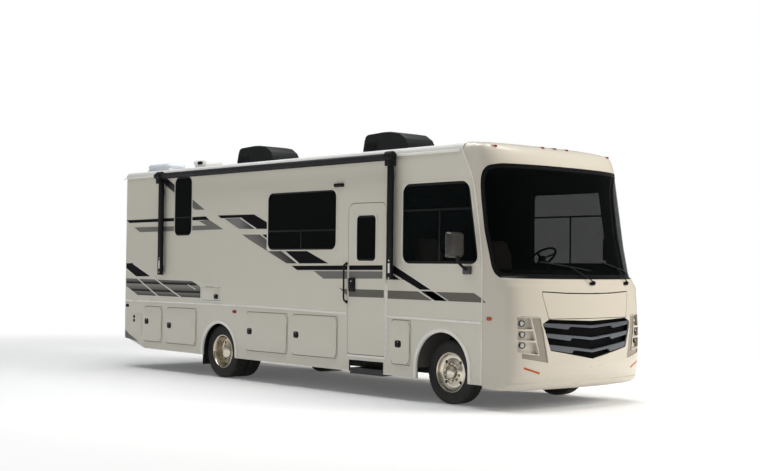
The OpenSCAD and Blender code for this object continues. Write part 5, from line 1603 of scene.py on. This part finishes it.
def makeRoofUnits():
    shape = roofShape
    shrouds, pans, slats = [], [], []
    for cx in shape["centres"]:
        outline = [(cx + a, shape["base"] + b) for a, b in shape["side"]]
        shell = plate(outline, -shape["halfY"], 2 * shape["halfY"], "y")
        editAll(shell)
        bpy.ops.mesh.subdivide(number_cuts=1)
        objectMode()
        for corner in shell.data.vertices:
            rise = max(0.0, (corner.co.z - shape["base"] - 0.045) / 0.305)
            ahead = max(0.0, (corner.co.x - cx) / 0.465)
            corner.co.y *= 1 - (1 - shape["topShare"]) * rise - 0.10 * ahead
        outwards(shell)
        shrouds.append(softEdges(shell, 0.018, 4, 24))
        pans.append(block((cx - 0.462, -0.318, shape["base"] + 0.022),
                          (cx + 0.462, 0.318, shape["base"] + 0.050), 0.008, 2))
        pans.append(block((cx - 0.18, -0.18, shape["base"] - 0.02), (cx + 0.18, 0.18, shape["base"] + 0.03),
                          0.004, 1))
        for sign in (1, -1):
            for i in range(9):
                sx = cx - 0.415 + i * 0.026
                slats.append(block((sx, sign * 0.300 - 0.014, shape["base"] + 0.085),
                                   (sx + 0.012, sign * 0.300 + 0.014, shape["base"] + 0.205), 0.004, 2))
        for i in range(11):
            sy = -0.215 + i * 0.043
            slats.append(block((cx - 0.463, sy - 0.008, shape["base"] + 0.085),
                               (cx - 0.44, sy + 0.008, shape["base"] + 0.200),
                               0.004, 2))
    place(joined(shrouds), "coolerShrouds", "coach", shroudCharcoal, "gloss_black", ["air_conditioners"])
    place(joined(pans), "coolerPans", "coach", blackPlastic, "gloss_black")
    place(joined(slats), "coolerSlats", "coach", blackPlastic, "gloss_black")
    x0, x1, y0, y1 = shape["vent"]
    top = gutterZ + 0.095 + 0.040 * (1 - (y1 / (halfWidth - 0.095)) ** 2) + 0.120
    lid = plate(rectangle(x0, y0, x1, y1), top - 0.085, 0.085, "z", 0.05, 6)
    place(softEdges(lid, 0.030, 5, 40), "ventLid", "coach", ventWhite, "vent_white", ["roof_vents"])
    curb = block((x0 + 0.03, y0 + 0.03, gutterZ + 0.085), (x1 - 0.03, y1 - 0.03, top - 0.06), 0.006, 2)
    place(curb, "ventCurb", "coach", ventWhite, "vent_white")
    port = plate(rectangle(x1 - 0.21, top - 0.078, x1 - 0.07, top - 0.026), y0 - 0.004, 0.01, "y", 0.024, 6,
                 edge=0.002)
    place(port, "ventPort", "coach", blackSatin, "gloss_black")
    x0, x1, y0, y1 = shape["dome"]
    curb = block((x0 + 0.02, y0 + 0.02, gutterZ + 0.085), (x1 - 0.02, y1 - 0.02, top - 0.085), 0.006, 2)
    place(curb, "skylightCurb", "coach", ventWhite, "vent_white")
    dome = plate(rectangle(x0, y0, x1, y1), top - 0.095, 0.095, "z", 0.10, 8)
    place(softEdges(dome, 0.055, 8, 40), "skylightDome", "coach", domeWhite, "vent_white")
    antenna = turned([(0.0, 0.0), (0.16, 0.0), (0.165, 0.02), (0.150, 0.065), (0.10, 0.088), (0.0, 0.095)],
                     (-0.62, 0.42, 3.285), 48, (0, 0, 1), 30)
    place(antenna, "antennaDome", "coach", ventWhite, "vent_white")


makeRoofUnits()
print("roof units made")


# dark sheet behind the entry step: painted shade standing for the shaded underbody
shadeSheetShape = {"x": (0.20, 2.20), "y": (-0.566, -0.556), "z": (0.300, 0.640)}


def makeShield():
    (x0, x1), (y0, y1), (z0, z1) = shadeSheetShape["x"], shadeSheetShape["y"], shadeSheetShape["z"]
    place(block((x0, y0, z0), (x1, y1, z1), 0.002, 1), "stepShadeSheet", "coach", blackPlastic, "frame_paint")


makeShield()
print("step shield made")


# rear
rearShape = {"lampY": 1.080, "lampZ": (0.875, 1.015), "lampR": 0.052, "plate": (0.30, 0.155), "plateZ": 0.94,
             "markers": (0.0, 0.28, -0.28, 1.06, -1.06), "markerZ": 3.085}


def makeRear():
    shape = rearShape
    bezels, lenses, centres = [], [], []
    for sign in (1, -1):
        for z in shape["lampZ"]:
            centre = (tailX - 0.002, sign * shape["lampY"], z)
            r = shape["lampR"]
            bezels.append(turned([(r + 0.010, -0.004), (r + 0.010, 0.012), (r + 0.004, 0.018), (r - 0.002, 0.018),
                                  (r - 0.002, -0.004)], centre, 48, (-1, 0, 0), 30))
            lenses.append(turned([(0.0, -0.002), (r, -0.002), (r, 0.014), (r * 0.8, 0.021), (0.0, 0.0235)],
                                 centre, 48,
                                 (-1, 0, 0), 30))
            centres.append(turned([(0.0, 0.018), (r * 0.36, 0.018), (r * 0.36, 0.0245), (0.0, 0.0255)], centre,
                                  32, (-1, 0, 0), 30))
    place(joined(lenses), "tailLampLenses", "coach", redLens, "lamp_red", ["tail_lights"])
    place(joined(bezels), "tailLampBezels", "coach", chrome, "wheel_bright")
    place(joined(centres), "tailLampCentres", "coach", clearLens, "lamp_clear")
    w, h = shape["plate"]
    z = shape["plateZ"]
    recess = ring(rectangle(-w / 2 - 0.03, z - h / 2 - 0.03, w / 2 + 0.03, z + h / 2 + 0.045), tailX - 0.012,
                  0.013, 0.022, "x",
                  0.015, 5, edge=0.002)
    place(recess, "plateFrame", "coach", blackSatin, "gloss_black")
    blank = plate(rectangle(-w / 2, z - h / 2, w / 2, z + h / 2), tailX - 0.005, 0.0055, "x", 0.012, 4, edge=0.001)
    place(blank, "blankPlate", "coach", trimWhite, "body_paint")
    lamp = block((tailX - 0.024, -0.045, z + h / 2 + 0.012), (tailX + 0.001, 0.045, z + h / 2 + 0.034), 0.006, 3)
    place(lamp, "plateLamp", "coach", blackSatin, "gloss_black")
    bases, tops = [], []
    for y in shape["markers"]:
        bases.append(plate(rectangle(y - 0.052, shape["markerZ"] - 0.022, y + 0.052, shape["markerZ"] + 0.022),
                           tailX - 0.006,
                           0.007, "x", 0.016, 5, edge=0.002))
        tops.append(plate(rectangle(y - 0.044, shape["markerZ"] - 0.015, y + 0.044, shape["markerZ"] + 0.015),
                          tailX - 0.020,
                          0.016, "x", 0.013, 5, edge=0.005))
    place(joined(bases), "rearMarkerBases", "coach", trimWhite, "body_paint")
    place(joined(tops), "rearMarkerLenses", "coach", redLens, "lamp_red")
    eye = block((tailX - 0.055, -0.062, 2.930), (tailX + 0.001, 0.062, 2.985), 0.012, 4)
    lens = turned([(0.0, -0.004), (0.016, -0.004), (0.016, 0.004), (0.011, 0.007), (0.0, 0.008)],
                  (tailX - 0.055, 0, 2.957), 32,
                  (-1, 0, 0), 30)
    place(eye, "rearCameraHood", "coach", blackSatin, "gloss_black")
    place(lens, "rearCameraLens", "coach", blackGloss, "tinted_glass")
    beads = [plate(rectangle(-halfWidth + 0.055, z - 0.004, halfWidth - 0.055, z + 0.004), tailX - 0.0035,
                   0.004, "x", edge=0.0015)
             for z in (1.116, 2.30)]
    place(joined(beads), "rearWallBeads", "coach", trimWhite, "body_paint")
    reflectors = [plate(rectangle(s * 1.08 - 0.045, 0.735, s * 1.08 + 0.045, 0.775), tailX - 0.008, 0.009, "x",
                        0.012, 5, edge=0.002)
                  for s in (1, -1)]
    place(joined(reflectors), "rearReflectors", "coach", redLens, "lamp_red")


makeRear()
print("rear made")


# cab seats and steering wheel
seatShape = {"y": 0.690, "front": (2.335, 2.830), "cushionZ": (1.385, 1.500), "halfWide": 0.248,
             "backrest": [(2.262, 1.560), (2.415, 1.555), (2.300, 2.085), (2.226, 2.120), (2.214, 2.060)],
             "voxel": 0.0075, "pressure": 4.0, "cap": 0.016, "frames": 14}


def puffed(thing):
    pick(thing)
    modify(thing, "REMESH", mode="VOXEL", voxel_size=seatShape["voxel"])
    start = [corner.co.copy() for corner in thing.data.vertices]
    cloth = thing.modifiers.new("Puff", "CLOTH")
    cloth.settings.use_pressure = True
    cloth.settings.uniform_pressure_force = seatShape["pressure"]
    cloth.settings.effector_weights.gravity = 0.0
    cloth.settings.quality = 5
    cloth.collision_settings.use_collision = False
    cloth.point_cache.frame_start, cloth.point_cache.frame_end = 1, seatShape["frames"]
    scene = bpy.context.scene
    for step in range(1, seatShape["frames"] + 1):
        scene.frame_set(step)
    pick(thing)
    bpy.ops.object.modifier_apply(modifier="Puff")
    for corner, before in zip(thing.data.vertices, start):
        moved = corner.co - before
        if moved.length > seatShape["cap"]:
            corner.co = before + moved.normalized() * seatShape["cap"]
    scene.frame_set(1)
    return smooth(thing, 60)


def makeCushion():
    shape = seatShape
    (x0, x1), (z0, z1), half = shape["front"], shape["cushionZ"], shape["halfWide"] - 0.016
    pad = plate(rectangle(x0 + 0.016, -half, x1 - 0.016, half), z0, z1 - z0 - 0.018, "z", 0.060, 6)
    softEdges(pad, 0.034, 5, 40)
    return puffed(pad)


def makeBackrest():
    shape = seatShape
    half = shape["halfWide"] - 0.022
    pad = plate(shape["backrest"], -half, 2 * half, "y")
    editAll(pad)
    bpy.ops.mesh.subdivide(number_cuts=2)
    objectMode()
    for corner in pad.data.vertices:
        rise = max(0.0, (corner.co.z - 1.80) / 0.33)
        corner.co.y *= 1 - 0.30 * min(1.0, rise) ** 2
    outwards(pad)
    softEdges(pad, 0.030, 5, 40)
    return puffed(pad)


def makeSeats():
    y = seatShape["y"]
    for name, maker in (("seatCushion", makeCushion), ("seatBackrest", makeBackrest)):
        pad = maker()
        other = copied(pad, (0, y, 0))
        pick(pad)
        pad.location.y -= y
        settle(pad)
        place(pad, "right_" + name, "coach", seatHide, "seat_leather", ["cab_seats"] if name == "seatCushion" else ())
        place(other, "left_" + name, "coach", seatHide, "seat_leather")
    for sign, side in ((-1, "right"), (1, "left")):
        parts = [block((2.425, sign * y - 0.150, 1.082), (2.725, sign * y + 0.150, 1.300), 0.02, 3),
                 block((2.345, sign * y - 0.225, 1.300), (2.815, sign * y + 0.225, 1.384), 0.018, 3),
                 plate([(2.200, 1.400), (2.330, 1.385), (2.345, 1.470), (2.258, 1.560), (2.205, 2.040),
                        (2.190, 2.020)],
                       sign * y - 0.225, 0.450, "y", edge=0.012)]
        place(joined(parts), side + "_seatPedestal", "coach", cabPlastic, "cab_plastic")
        rests = [block((2.350, sign * y + s * 0.262 - 0.026, 1.640), (2.640, sign * y + s * 0.262 + 0.026,
                                                                      1.700), 0.022, 4)
                 for s in (1, -1)]
        place(joined(rests), side + "_seatArmrests", "coach", seatHide, "seat_leather")


def makeSteering():
    centre, tilt = Vector((3.265, 0.470, 1.850)), math.radians(-40)
    turn = Matrix.Translation(centre) @ Matrix.Rotation(tilt, 4, "Y")
    clearSelection()
    bpy.ops.mesh.primitive_torus_add(major_segments=72, minor_segments=16, major_radius=0.2145, minor_radius=0.0148)
    rim = bpy.context.object
    rim.matrix_world = turn
    parts = [smooth(settle(rim), 60)]
    for angle in (0, 120, 240):
        clearSelection()
        bpy.ops.mesh.primitive_cube_add(size=1, location=(0.125, 0, -0.002), scale=(0.185, 0.034, 0.012))
        spoke = softEdges(settle(bpy.context.object), 0.005, 3)
        spoke.matrix_world = turn @ Matrix.Rotation(math.radians(angle + 60), 4, "Z")
        parts.append(settle(spoke))
    hub = turned([(0.0, -0.030), (0.046, -0.030), (0.050, -0.020), (0.050, 0.008), (0.040, 0.020),
                  (0.0, 0.024)], (0, 0, 0), 48,
                 (0, 0, 1), 30)
    hub.matrix_world = turn
    parts.append(settle(hub))
    place(joined(parts), "steeringWheelRim", "steering_wheel", blackPlastic, "cab_plastic", ["steering_wheel"])


makeSeats()
makeSteering()
print("cab made")
